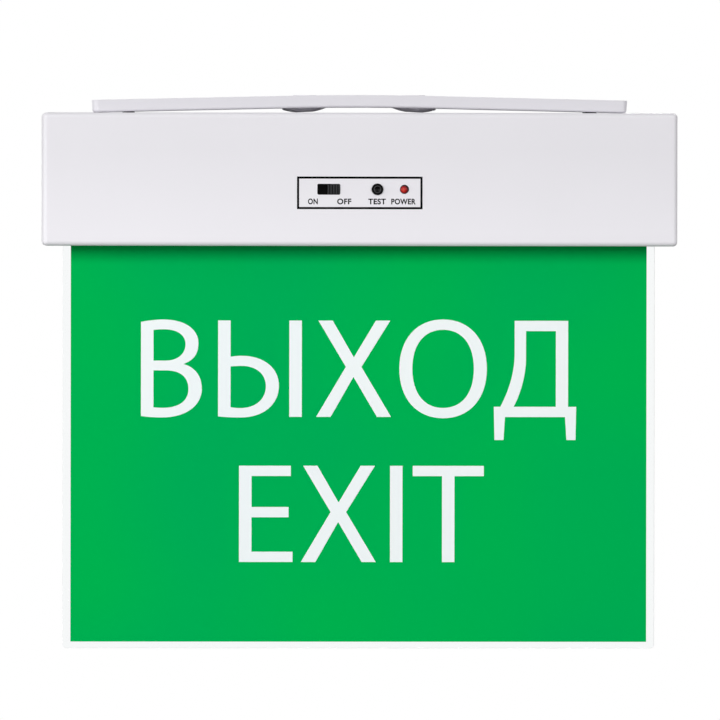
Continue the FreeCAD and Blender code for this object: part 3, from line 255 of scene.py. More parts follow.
@dataclass(frozen=True)
class PrintInk:
    """Screen-printed ink: a thin matt film whose colour drifts a little over its area."""

    name: str
    colour: str
    second: str
    roughness: float = 0.55
    gloss: float = 0.02
    drift_mm: float = 120.0
    drift_span: tuple[float, float] = (0.3, 0.7)
    screen_mm: float = 0.9
    screen_relief_mm: float = 0.002

    def make(self) -> bpy.types.Material:
        """Build the material.

        Returns:
            The material, its colour drifting slowly between two near shades.
        """
        material, tree, shader, place = start_material(self.name)
        drift = add_node(
            tree, "ShaderNodeTexNoise",
            {"Vector": place, "Scale": 1 / (self.drift_mm * MM), "Detail": 1.0},
        )
        low, high = self.drift_span
        share = add_node(
            tree, "ShaderNodeMapRange",
            {"Value": drift.outputs["Fac"], "From Min": low, "From Max": high},
        )
        colour = add_node(
            tree, "ShaderNodeMix",
            {0: share.outputs["Result"], 6: linear(self.colour), 7: linear(self.second)},
            data_type="RGBA",
        )
        tree.links.new(colour.outputs[2], shader.inputs["Base Color"])
        skin = add_node(
            tree, "ShaderNodeTexNoise",
            {"Vector": place, "Scale": 1 / (self.screen_mm * MM), "Detail": 2.0},
        )
        bump = add_node(
            tree, "ShaderNodeBump",
            {"Height": skin.outputs["Fac"], "Distance": self.screen_relief_mm * MM},
        )
        tree.links.new(bump.outputs["Normal"], shader.inputs["Normal"])
        shader.inputs["Roughness"].default_value = self.roughness
        shader.inputs["Specular IOR Level"].default_value = self.gloss
        return material


@dataclass(frozen=True)
class ClearPlastic:
    """Cast acrylic or epoxy: clear through its thickness, with a polished skin."""

    name: str
    colour: str
    ior: float = 1.49
    roughness: float = 0.02
    haze_mm: float = 30.0
    haze_gain: float = 3.0
    edge_transmission: float = 1.0
    edge_roughness: float = 0.02

    def make(self) -> bpy.types.Material:
        """Build the material.

        Returns:
            The material, tinted by its colour, with a slow change of roughness like wiped haze.
        """
        material, tree, shader, place = start_material(self.name)
        haze = add_node(
            tree, "ShaderNodeTexNoise",
            {"Vector": place, "Scale": 1 / (self.haze_mm * MM), "Detail": 3.0},
        )
        rough = add_node(
            tree, "ShaderNodeMapRange",
            {
                "Value": haze.outputs["Fac"],
                "To Min": self.roughness,
                "To Max": self.roughness * self.haze_gain,
            },
        )
        tree.links.new(rough.outputs["Result"], shader.inputs["Roughness"])
        shader.inputs["Base Color"].default_value = linear(self.colour)
        shader.inputs["IOR"].default_value = self.ior
        shader.inputs["Transmission Weight"].default_value = 1.0
        if self.edge_transmission < 1.0:
            self.frost_edges(tree, rough.outputs["Result"])
        return material

    def frost_edges(self, tree: bpy.types.NodeTree, polished: bpy.types.NodeSocket) -> None:
        """Let the narrow sides of a sheet scatter light, as its sawn edges do.

        Args:
            tree: the material's nodes.
            polished: the roughness of the sheet's two faces.
        """
        shader = tree.nodes["Principled BSDF"]
        normal = add_node(tree, "ShaderNodeTexCoord").outputs["Normal"]
        parts = add_node(tree, "ShaderNodeSeparateXYZ", {"Vector": normal})
        facing = add_node(
            tree, "ShaderNodeMath", {0: parts.outputs["Y"]}, operation="ABSOLUTE"
        )
        for name, edge, face in (
            ("Transmission Weight", self.edge_transmission, 1.0),
            ("Roughness", self.edge_roughness, polished),
        ):
            blend = add_node(tree, "ShaderNodeMix", {0: facing.outputs[0], 2: edge, 3: face})
            tree.links.new(blend.outputs[0], shader.inputs[name])


@dataclass(frozen=True)
class Metal:
    """Plated, drawn or extruded metal: streaks along one axis and a faint mottling."""

    name: str
    colour: str
    roughness: float
    streaks: tuple[float, float, float] = (1.0, 1.0, 1.0)
    streak_mm: float = 0.6
    streak_shade: float = 0.82
    streak_spread: float = 0.2
    relief_mm: float = 0.004

    def make(self) -> bpy.types.Material:
        """Build the material.

        Returns:
            The material, with its streaks stretched along the axes that streaks makes small.
        """
        material, tree, shader, place = start_material(self.name)
        stretched = add_node(
            tree, "ShaderNodeMapping", {"Vector": place, "Scale": self.streaks}
        )
        streak = add_node(
            tree, "ShaderNodeTexNoise",
            {
                "Vector": stretched.outputs["Vector"],
                "Scale": 1 / (self.streak_mm * MM),
                "Detail": 4.0,
            },
        )
        base = linear(self.colour)
        colour = add_node(
            tree, "ShaderNodeMix",
            {0: streak.outputs["Fac"], 6: scaled(base, self.streak_shade), 7: base},
            data_type="RGBA",
        )
        tree.links.new(colour.outputs[2], shader.inputs["Base Color"])
        rough = add_node(
            tree, "ShaderNodeMapRange",
            {
                "Value": streak.outputs["Fac"],
                "To Min": self.roughness * (1 - self.streak_spread),
                "To Max": self.roughness * (1 + self.streak_spread),
            },
        )
        tree.links.new(rough.outputs["Result"], shader.inputs["Roughness"])
        bump = add_node(
            tree, "ShaderNodeBump",
            {"Height": streak.outputs["Fac"], "Distance": self.relief_mm * MM},
        )
        tree.links.new(bump.outputs["Normal"], shader.inputs["Normal"])
        shader.inputs["Metallic"].default_value = 1.0
        return material


@dataclass(frozen=True)
class Striped:
    """A surface of fine parallel stripes, such as stacked sheets and turns of wire; on ribs, its
    paler stripes are painted highlights.
    """

    name: str
    colour: str
    second: str
    pitch_mm: float
    direction: str = "Z"
    metallic: float = 0.0
    roughness: float = 0.4
    gloss: float = 0.5
    relief_mm: float = 0.03
    centre_mm: float = 0.0

    def make(self) -> bpy.types.Material:
        """Build the material.

        Returns:
            The material, with one stripe for each pitch along the direction, one at the centre.
        """
        material, tree, shader, place = start_material(self.name)
        turns = math.tau / (WAVE_RADIANS * self.pitch_mm * MM)
        phase = (math.pi - math.tau * self.centre_mm / self.pitch_mm) % math.tau
        stripe = add_node(
            tree, "ShaderNodeTexWave",
            {"Vector": place, "Scale": turns, "Distortion": 0.0, "Phase Offset": phase},
            bands_direction=self.direction,
        )
        colour = add_node(
            tree, "ShaderNodeMix",
            {0: stripe.outputs["Fac"], 6: linear(self.second), 7: linear(self.colour)},
            data_type="RGBA",
        )
        tree.links.new(colour.outputs[2], shader.inputs["Base Color"])
        bump = add_node(
            tree, "ShaderNodeBump",
            {"Height": stripe.outputs["Fac"], "Distance": self.relief_mm * MM},
        )
        tree.links.new(bump.outputs["Normal"], shader.inputs["Normal"])
        shader.inputs["Metallic"].default_value = self.metallic
        shader.inputs["Roughness"].default_value = self.roughness
        if not self.metallic:
            shader.inputs["Specular IOR Level"].default_value = self.gloss
        return material


@dataclass(frozen=True)
class DiffusedLens:
    """Tinted diffusing epoxy: a pale heart, partly the reflector cup showing through and partly
    a painted highlight, and a deep rim of painted shade.
    """

    name: str
    heart: str
    body: str
    rim: str
    radius_mm: float
    centre: tuple[float, float, float]
    body_stop: float = 0.45
    roughness: float = 0.12
    gloss: float = 0.25

    def make(self) -> bpy.types.Material:
        """Build the material.

        Returns:
            The material, with its colours in rings about the centre.
        """
        material, tree, shader, place = start_material(self.name)
        size = 1 / (self.radius_mm * MM)
        centred = add_node(
            tree, "ShaderNodeMapping",
            {
                "Vector": place,
                "Location": tuple(-part * size for part in self.centre),
                "Scale": (size, size, size),
            },
        )
        ball = add_node(
            tree, "ShaderNodeTexGradient", {"Vector": centred.outputs["Vector"]},
            gradient_type="SPHERICAL",
        )
        # painted shade at the rim; at the heart, the reflector cup showing through together with
        # a painted highlight
        ramp = add_node(tree, "ShaderNodeValToRGB", {"Fac": ball.outputs["Fac"]})
        stops = ramp.color_ramp.elements
        stops[0].position, stops[0].color = 0.0, linear(self.rim)
        stops[1].position, stops[1].color = 1.0, linear(self.heart)
        stops.new(self.body_stop).color = linear(self.body)
        tree.links.new(ramp.outputs["Color"], shader.inputs["Base Color"])
        shader.inputs["Roughness"].default_value = self.roughness
        shader.inputs["Specular IOR Level"].default_value = self.gloss
        return material


@dataclass(frozen=True)
class CircuitBoard:
    """Board under solder mask, whose copper shows through it as blocky paler runs."""

    name: str
    mask: str
    copper: str
    pad_mm: float = 5.0
    scatter: float = 0.35
    run_edge: float = 0.42
    roughness: float = 0.3

    def make(self) -> bpy.types.Material:
        """Build the material.

        Returns:
            The material, with blocky runs of copper under the mask.
        """
        material, tree, shader, place = start_material(self.name)
        runs = add_node(
            tree, "ShaderNodeTexVoronoi",
            {"Vector": place, "Scale": 1 / (self.pad_mm * MM), "Randomness": self.scatter},
            distance="CHEBYCHEV",
        )
        edge = add_node(
            tree, "ShaderNodeMath", {0: runs.outputs["Distance"], 1: self.run_edge},
            operation="GREATER_THAN",
        )
        colour = add_node(
            tree, "ShaderNodeMix",
            {0: edge.outputs["Value"], 6: linear(self.mask), 7: linear(self.copper)},
            data_type="RGBA",
        )
        tree.links.new(colour.outputs[2], shader.inputs["Base Color"])
        shader.inputs["Roughness"].default_value = self.roughness
        return material


# ---------------------------------------------------------------- printed shapes


@dataclass(frozen=True)
class Anchor:
    """A point of an outline in millimetres, with the pull of the curve before and after it."""

    x: float
    z: float
    before: tuple[float, float] = (0.0, 0.0)
    after: tuple[float, float] = (0.0, 0.0)


Outline = list[Anchor]
# the pull of a curve that follows a quarter of a circle, as a share of its radius
QUARTER = 0.5523


def corners(*points: tuple[float, float]) -> Outline:
    """An outline of straight edges through the points."""
    return [Anchor(x, z) for x, z in points]


def block(left: float, right: float, low: float, high: float) -> Outline:
    """A rectangle."""
    return corners((left, low), (right, low), (right, high), (left, high))


def ellipse(
    x: float, z: float, across: float, rise: float, fullness: float = QUARTER
) -> Outline:
    """An ellipse about a centre.

    Args:
        x: its centre across.
        z: its centre up.
        across: half its width.
        rise: half its height.
        fullness: the curve's pull as a share of its radius; more gives squarer shoulders.

    Returns:
        The four anchors of the ellipse.
    """
    pull, lift = across * fullness, rise * fullness
    return [
        Anchor(x + across, z, (0, -lift), (0, lift)),
        Anchor(x, z + rise, (pull, 0), (-pull, 0)),
        Anchor(x - across, z, (0, lift), (0, -lift)),
        Anchor(x, z - rise, (-pull, 0), (pull, 0)),
    ]


def moved(outline: Outline, x: float, z: float) -> Outline:
    """The same outline at another place."""
    return [Anchor(a.x + x, a.z + z, a.before, a.after) for a in outline]


def flat_print(
    name: str, outlines: Iterable[Outline], surface: float, thickness: float, rear: bool = False
) -> bpy.types.Object:
    """Make a thin printed layer from outlines, with the inner ones as holes.

    Args:
        name: the piece's name.
        outlines: closed outlines in millimetres, seen from the side that is printed.
        surface: Y of the printed surface, in metres.
        thickness: the layer's thickness, in metres.
        rear: whether the layer is read from behind.

    Returns:
        The piece, with its place in its mesh.
    """
    curve = bpy.data.curves.new(name, "CURVE")
    curve.dimensions = "2D"
    curve.fill_mode = "BOTH"
    curve.resolution_u = CURVE_STEPS
    curve.extrude = thickness / 2
    for outline in outlines:
        spline = curve.splines.new("BEZIER")
        spline.bezier_points.add(len(outline) - 1)
        spline.use_cyclic_u = True
        for point, anchor in zip(spline.bezier_points, outline):
            point.handle_left_type = point.handle_right_type = "FREE"
            point.co = (anchor.x * MM, anchor.z * MM, 0)
            point.handle_left = (
                (anchor.x + anchor.before[0]) * MM, (anchor.z + anchor.before[1]) * MM, 0,
            )
            point.handle_right = (
                (anchor.x + anchor.after[0]) * MM, (anchor.z + anchor.after[1]) * MM, 0,
            )
    piece = bpy.data.objects.new(name, curve)
    bpy.context.collection.objects.link(piece)
    return stand_up(piece, surface, thickness, rear)


def stand_up(
    piece: bpy.types.Object, surface: float, thickness: float, rear: bool = False
) -> bpy.types.Object:
    """Turn a flat curve or text into a mesh that lies on an upright surface.

    Args:
        piece: the flat curve or text.
        surface: Y of the surface, in metres.
        thickness: the layer's thickness, in metres.
        rear: whether the surface faces the rear.

    Returns:
        The same piece as a mesh.
    """
    pick(piece)
    bpy.ops.object.convert(target="MESH")
    side = 1 if rear else -1
    piece.rotation_euler = (math.radians(90), 0, math.radians(180) if rear else 0)
    piece.location.y += surface + side * thickness / 2
    apply_place(piece)
    bpy.ops.object.mode_set(mode="EDIT")
    bpy.ops.mesh.select_all(action="SELECT")
    bpy.ops.mesh.remove_doubles(threshold=MERGE_DISTANCE)
    bpy.ops.mesh.normals_make_consistent(inside=False)
    bpy.ops.object.mode_set(mode="OBJECT")
    deselect_all()
    return piece


# ---------------------------------------------------------------- sign


@dataclass
class SignLetters:
    """Plain upright capitals of the sign, in millimetres from each letter's lower left."""

    height: float = 53.2
    stem: float = 6.9
    bar: float = 5.7
    overshoot: float = 0.7
    ring_width: float = 48.4
    ring_wall: float = 7.2
    ring_fullness: float = 0.605
    hole_fullness: float = 0.62

    def upright(self) -> list[Outline]:
        """A single stem."""
        return [block(0, self.stem, 0, self.height)]

    def letter_e(self) -> list[Outline]:
        """Draw a stem with three arms.

        Returns:
            The letter's one outline.
        """
        waist = 24.7
        return [
            corners(
                (0, 0), (29.6, 0), (29.6, self.bar), (self.stem, self.bar),
                (self.stem, waist), (27.4, waist), (27.4, waist + self.bar),
                (self.stem, waist + self.bar), (self.stem, self.height - self.bar),
                (28.6, self.height - self.bar), (28.6, self.height), (0, self.height),
            )
        ]

    def letter_t(self) -> list[Outline]:
        """Draw a stem under a long bar.

        Returns:
            The letter's one outline.
        """
        width = 39.3
        left = (width - self.stem) / 2
        under = self.height - self.bar
        return [
            corners(
                (left, 0), (left + self.stem, 0), (left + self.stem, under), (width, under),
                (width, self.height), (0, self.height), (0, under), (left, under),
            )
        ]

    def letter_x(self) -> list[Outline]:
        """Draw two crossed strokes, a little wider at the foot.

        Returns:
            The letter's one outline.
        """
        middle = 20.7
        waist = 27.6
        return [
            corners(
                (0, 0), (8.0, 0), (middle - 0.1, 22.1), (33.6, 0), (41.4, 0),
                (middle + 4.3, waist), (40.9, self.height), (33.0, self.height),
                (middle + 0.1, 32.9), (9.1, self.height), (1.2, self.height),
                (middle - 4.3, waist),
            )
        ]

    def letter_o(self) -> list[Outline]:
        """Draw a tall ring with full shoulders, thinner at head and foot.

        Returns:
            The ring's outer and inner edges.
        """
        across, middle = self.ring_width / 2, self.height / 2
        rise = middle + self.overshoot
        hole = across - self.ring_wall
        return [
            ellipse(across, middle, across, rise, self.ring_fullness),
            ellipse(across, middle, hole, rise - self.bar, self.hole_fullness),
        ]

    def letter_ve(self) -> list[Outline]:
        """Draw a stem with two bowls, the lower one wider.

        Returns:
            The outer edge, then the upper and the lower hole.
        """
        top, foot = self.height + 0.5, -0.4
        outer = [
            Anchor(0, 0.4),
            Anchor(11.5, foot, (-7, 0), (13.5, 0)),
            Anchor(33.6, 15.4, (0, -9.2), (0, 7.2)),
            Anchor(23.4, 29.1, (6.3, -1.6), (5.2, 2.0)),
            Anchor(31.7, 40.7, (0, -6.6), (0, 7.8)),
            Anchor(12.4, top, (11.6, 0), (-5.5, 0)),
            Anchor(0, self.height - 0.8),
        ]
        upper = [
            Anchor(self.stem, 31.0),
            Anchor(13.6, 31.0, (-2, 0), (6.6, 0)),
            Anchor(24.6, 40.0, (0, -5.3), (0, 5.2)),
            Anchor(12.6, 48.3, (7.4, 0), (-3, 0)),
            Anchor(self.stem, 47.9),
        ]
        lower = [
            Anchor(self.stem, 5.2),
            Anchor(12.0, 4.9, (-3, 0), (9.0, 0)),
            Anchor(26.2, 15.3, (0, -6.6), (0, 6.6)),
            Anchor(13.6, 25.6, (8.2, 0), (-2, 0)),
            Anchor(self.stem, 25.6),
        ]
        return [outer, upper, lower]

    def letter_soft(self) -> list[Outline]:
        """Draw a stem with one low bowl.

        Returns:
            The outer edge and the hole.
        """
        outer = [
            Anchor(0, 0.2),
            Anchor(12.2, -0.4, (-7, 0), (13.0, 0)),
            Anchor(33.6, 17.2, (0, -10.4), (0, 9.8)),
            Anchor(13.0, 33.7, (12.4, 0), (-3, 0)),
            Anchor(self.stem, 33.2),
            Anchor(self.stem, self.height),
            Anchor(0, self.height),
        ]
        inner = [
            Anchor(self.stem, 5.3),
            Anchor(12.2, 4.8, (-2.6, 0), (8.6, 0)),
            Anchor(26.4, 16.8, (0, -7.0), (0, 6.8)),
            Anchor(13.0, 28.1, (8.2, 0), (-3, 0)),
            Anchor(self.stem, 27.8),
        ]
        return [outer, inner]

    def letter_de(self) -> list[Outline]:
        """Draw a tall frame on a bar with two feet; its left leg bows outwards at the foot.

        Returns:
            The outer edge and the hole.
        """
        leg, drop = 11.5, -12.7
        outer = [
            Anchor(0, self.bar),
            Anchor(0.4, drop),
            Anchor(5.4, drop),
            Anchor(6.2, 0),
            Anchor(39.4, 0),
            Anchor(40.2, drop),
            Anchor(45.2, drop),
            Anchor(45.6, self.bar),
            Anchor(41.1, self.bar),
            Anchor(41.1, self.height),
            Anchor(leg, self.height),
            Anchor(leg, 35.0, (0, 2), (0, -12)),
            Anchor(3.6, self.bar, (3.6, 6.6), (0, 0)),
        ]
        inner = [
            Anchor(11.0, self.bar, (0, 0), (3.9, 7.4)),
            Anchor(17.8, 33.0, (0, -10), (0, 2)),
            Anchor(17.8, self.height - self.bar),
            Anchor(34.3, self.height - self.bar),
            Anchor(34.3, self.bar),
        ]
        return [outer, inner]


@dataclass
class Sign:
    """The words on both faces of the panel, printed white on the green films."""

    ink_thickness: float = 0.08 * MM
    upper_foot: float = -177.7
    lower_foot: float = -257.9
    letters: SignLetters = field(default_factory=SignLetters)

    def upper_word(self) -> list[Outline]:
        """Set the upper word by each letter's left edge, in millimetres from the middle.

        Returns:
            The outlines of all its letters.
        """
        shapes = self.letters
        places = [
            (-120.35, shapes.letter_ve()), (-77.75, shapes.letter_soft()),
            (-38.4, shapes.upright()), (-23.55, shapes.letter_x()),
            (22.4, shapes.letter_o()), (74.65, shapes.letter_de()),
        ]
        return [moved(o, x, self.upper_foot) for x, outlines in places for o in outlines]

    def lower_word(self) -> list[Outline]:
        """Set the lower word by each letter's left edge, in millimetres from the middle.

        Returns:
            The outlines of all its letters.
        """
        shapes = self.letters
        places = [
            (-66.1, shapes.letter_e()), (-31.9, shapes.letter_x()),
            (17.35, shapes.upright()), (29.9, shapes.letter_t()),
        ]
        return [moved(o, x, self.lower_foot) for x, outlines in places for o in outlines]

    def build(self, ink: bpy.types.Material) -> list[bpy.types.Object]:
        """Print both words on both films.

        Args:
            ink: the white ink.

        Returns:
            The four printed words.
        """
        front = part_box("front_film")[0].y
        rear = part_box("rear_film")[1].y
        pieces = []
        for side, surface in (("front", front), ("rear", rear)):
            for level, word in (("upper", self.upper_word()), ("lower", self.lower_word())):
                name = f"word_{side}_{level}"
                piece = flat_print(name, word, surface, self.ink_thickness, side == "rear")
                dress(piece, ink)
                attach(piece, "housing")
                pieces.append(piece)
        return pieces


# ---------------------------------------------------------------- control label


@dataclass
class ControlLabel:
    """The printed frame round the controls, with a plain word under each of them."""

    left: float = -34.97
    right: float = 34.27
    low: float = -62.95
    high: float = -44.97
    line: float = 1.18
    weight: float = 0.03
    spacing: float = 1.08
    ink_thickness: float = 0.04 * MM
    word_height: float = 3.2
    word_foot: float = -60.3
    words: tuple[tuple[str, float, float], ...] = (
        ("ON", -28.9, -23.5), ("OFF", -12.8, -5.0), ("TEST", 4.35, 14.05), ("POWER", 17.0, 30.5),
    )

    def frame_outlines(self) -> list[Outline]:
        """Draw the frame.

        Returns:
            Its outer and inner edges.
        """
        inset = self.line
        return [
            block(self.left, self.right, self.low, self.high),
            block(self.left + inset, self.right - inset, self.low + inset, self.high - inset),
        ]

    def word(self, text: str, left: float, right: float, surface: float) -> bpy.types.Object:
        """Print one word between two places.

        Args:
            text: the word.
            left: where it starts, in millimetres.
            right: where it ends, in millimetres.
            surface: Y of the printed face, in metres.

        Returns:
            The word as a mesh.
        """
        deselect_all()
        bpy.ops.object.text_add()
        piece = bpy.context.object
        piece.name = f"label_word_{text.lower()}"
        piece.data.body = text
        piece.data.offset = self.weight
        piece.data.space_character = self.spacing
        piece.data.extrude = self.ink_thickness / 2
        bpy.context.view_layer.update()
        pick(piece)
        bpy.ops.object.convert(target="MESH")
        low = Vector(map(min, zip(*(v.co for v in piece.data.vertices))))
        high = Vector(map(max, zip(*(v.co for v in piece.data.vertices))))
        across = (right - left) * MM / (high.x - low.x)
        rise = self.word_height * MM / (high.y - low.y)
        piece.data.transform(
            Matrix.Translation((left * MM, self.word_foot * MM, 0))
            @ Matrix.Diagonal((across, rise, 1, 1))
            @ Matrix.Translation((-low.x, -low.y, 0))
        )
        return stand_up(piece, surface, self.ink_thickness)

    def build(self, ink: bpy.types.Material) -> list[bpy.types.Object]:
        """Print the frame and its words on the housing's front.

        Args:
            ink: the black ink.

        Returns:
            The printed pieces.
        """
        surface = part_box("front_shell")[0].y
        pieces = [
            flat_print("label_frame", self.frame_outlines(), surface, self.ink_thickness)
        ]
        pieces += [self.word(*word, surface) for word in self.words]
        for piece in pieces:
            dress(piece, ink)
            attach(piece, "housing")
        return pieces


# ---------------------------------------------------------------- test button's ring


@dataclass
class ButtonRing:
    """A fine raised ring round the middle of the test button, which a fingertip feels."""

    radius: float = 1.85 * MM
    wire: float = 0.2 * MM
    sunk: float = 0.08 * MM
    steps_round: int = 64
    steps_across: int = 16

    def build(self) -> bpy.types.Object:
        """Turn the ring on the button's face.

        Returns:
            The ring, which moves with the button.
        """
        low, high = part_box("test_button")
        deselect_all()
        bpy.ops.mesh.primitive_torus_add(
            location=((low.x + high.x) / 2, low.y + self.sunk, (low.z + high.z) / 2),
            rotation=(math.radians(90), 0, 0),
            major_radius=self.radius, minor_radius=self.wire,
            major_segments=self.steps_round, minor_segments=self.steps_across,
        )
        ring = bpy.context.object
        ring.name = "button_ring"
        apply_place(ring)
        bpy.ops.object.mode_set(mode="EDIT")
        bpy.ops.mesh.select_all(action="SELECT")
        bpy.ops.mesh.normals_make_consistent(inside=False)
        bpy.ops.object.mode_set(mode="OBJECT")
        bpy.ops.object.shade_smooth()
        # the same black ABS, painted a little paler than the button as a painted highlight on
        # its crest
        dress(ring, MouldedPlastic("abs_black_ring", "#3C3C3E", roughness=0.3, gloss=0.3).make())
        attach(ring, "test_push")
        return ring


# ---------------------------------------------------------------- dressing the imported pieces


@dataclass
class Wardrobe:
    """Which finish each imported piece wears."""

    # injection-moulded ABS, spark-eroded mould: off-white, barely violet, satin skin, with
    # painted light making it a shade lighter towards the foot of the housing
    white: MouldedPlastic = MouldedPlastic(
        "abs_white_sparked", "#E8E6EB", roughness=0.45, painted_foot_light=0.085
    )
    # the ceiling plate: the same ABS as the housing, painted a shade greyer as painted shade
    tray: MouldedPlastic = MouldedPlastic("abs_white_tray", "#DEDCE2", roughness=0.45)
    # cast PMMA: water-clear, its sawn edges frosted and pale
    acrylic: ClearPlastic = ClearPlastic(
        "cast_acrylic_clear", "#F6F8F8", edge_transmission=0.3, edge_roughness=0.5
    )
    # matt vinyl film: a flat traffic green that turns a touch bluer here and there
    film: PrintInk = PrintInk("vinyl_film_green", "#00B952", "#00B15A", gloss=0.0)
    # glass-filled nylon: dull black with a dry skin
    nylon: MouldedPlastic = MouldedPlastic("nylon_black", "#0B0B0C", roughness=0.55, gloss=0.12)
    # polished-mould ABS: deep black, a small clean highlight on its edges
    black: MouldedPlastic = MouldedPlastic("abs_black", "#060607", roughness=0.3, gloss=0.06)
    # the same black, with painted highlights on the crests of the ribs
    knob: Striped = Striped(
        "abs_black_ribs_painted_highlight", "#37383A", "#040405", 1.5, "X", roughness=0.35, gloss=0.1,
        relief_mm=0.02, centre_mm=-14.65,
    )
    # bright zinc over steel: cool grey, small soft highlights
    zinc: Metal = Metal("steel_zinc_plated", "#C3C6C9", 0.3)
    # mill-finish extrusion: fine die lines along its length
    aluminium: Metal = Metal(
        "aluminium_extruded", "#CFD1D3", 0.32, streaks=(0.02, 1.0, 1.0), streak_mm=0.5
    )
    # FR4 under green solder mask: deep green, smooth, paler over its copper
    board: CircuitBoard = CircuitBoard("board_green_mask", "#0B4A2C", "#17693F")
    # aluminium-core strip under white solder mask: off-white, smooth, hardly any pattern
    strip: CircuitBoard = CircuitBoard("board_white_mask", "#ECEDEA", "#DDE0DA")
    # silicone with phosphor: pale yellow, smooth
    chip: MouldedPlastic = MouldedPlastic("phosphor_pale_yellow", "#F1E9A8", roughness=0.3)
    # stacked half-millimetre sheets: fine dark lines between bright edges
    core: Striped = Striped(
        "steel_laminations", "#8A8C90", "#4C4E52", 0.5, "Y", metallic=1.0, roughness=0.45
    )
    # enamelled wire laid side by side: warm, glossy turns
    copper: Striped = Striped(
        "copper_enamelled_turns", "#B8642B", "#7C3A14", 0.4, "Z", metallic=1.0, roughness=0.3
    )
    # heat-shrunk PET sleeve: dark blue, glossy
    sleeve: MouldedPlastic = MouldedPlastic(
        "pet_sleeve_dark_blue", "#1B2440", roughness=0.25, grain=Grain.POLISHED
    )
    # unfilled polyamide: plain mid grey, satin
    terminal: MouldedPlastic = MouldedPlastic("polyamide_grey", "#8E9290", roughness=0.5)
    # drawn soda-lime tube: clear and smooth
    glass: ClearPlastic = ClearPlastic("fuse_glass", "#F2F6F5", ior=1.52, roughness=0.01)
    # shrunk PVC: blue, its gloss a little uneven over the cells
    wrap: MouldedPlastic = MouldedPlastic(
        "pvc_shrink_wrap_blue", "#2B62A8", roughness=0.22, grain=Grain.POLISHED, grain_mm=3.0
    )
    # from the middle of the indicator's tip to its palest place, where the painted highlight
    # sits
    painted_highlight_shift_mm: tuple[float, float, float] = (-0.5, 0.6, -0.3)

    def lens(self) -> DiffusedLens:
        """Choose the indicator's finish: its heart, partly a painted highlight, sits a little
        off the middle of its tip.

        Returns:
            The finish of diffusing red epoxy.
        """
        low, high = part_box("power_led")
        tip = Vector(((low.x + high.x) / 2, low.y, (low.z + high.z) / 2))
        heart = tuple(tip + Vector(self.painted_highlight_shift_mm) * MM)
        return DiffusedLens("epoxy_red_diffused", "#E8503E", "#A50C10", "#1E0103", 2.6, heart)

    def plan(self) -> dict[str, tuple[str, ...]]:
        """List who wears what.

        Returns:
            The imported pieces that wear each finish, by the finish's name here.
        """
        return {
            "white": ("front_shell", "rear_cover", "led_spacer"),
            "tray": ("mounting_plate",),
            "acrylic": ("sign_panel",),
            "film": ("front_film", "rear_film"),
            "nylon": ("plate_clips", "battery_strap", "cable_clamp"),
            "black": ("switch_body", "test_button", "test_switch_body", "test_plunger"),
            "knob": ("switch_knob",),
            "zinc": (
                "cover_screws", "control_board_screws", "driver_board_screws",
                "battery_strap_screws", "cable_clamp_screws", "terminal_screws", "fuse_clips",
            ),
            "aluminium": ("led_channel",),
            "board": ("control_board", "driver_board"),
            "strip": ("led_strip_board",),
            "chip": ("led_chips",),
            "core": ("transformer_core",),
            "copper": ("transformer_coil",),
            "sleeve": ("capacitors",),
            "terminal": ("terminal_block",),
            "glass": ("fuse",),
            "wrap": ("battery_pack",),
        }

    def dress_all(self) -> None:
        """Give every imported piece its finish, and stop if one has none."""
        bare = set(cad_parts)
        outfits = [(getattr(self, name), nodes) for name, nodes in self.plan().items()]
        outfits.append((self.lens(), ("power_led",)))
        for finish, nodes in outfits:
            material = finish.make()
            for node in nodes:
                dress(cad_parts[node], material)
                bare.discard(node)
                log.info("dressed %s in %s", node, material.name)
        if bare:
            raise RuntimeError(f"no finish for {sorted(bare)}")


# ---------------------------------------------------------------- stage, light and camera


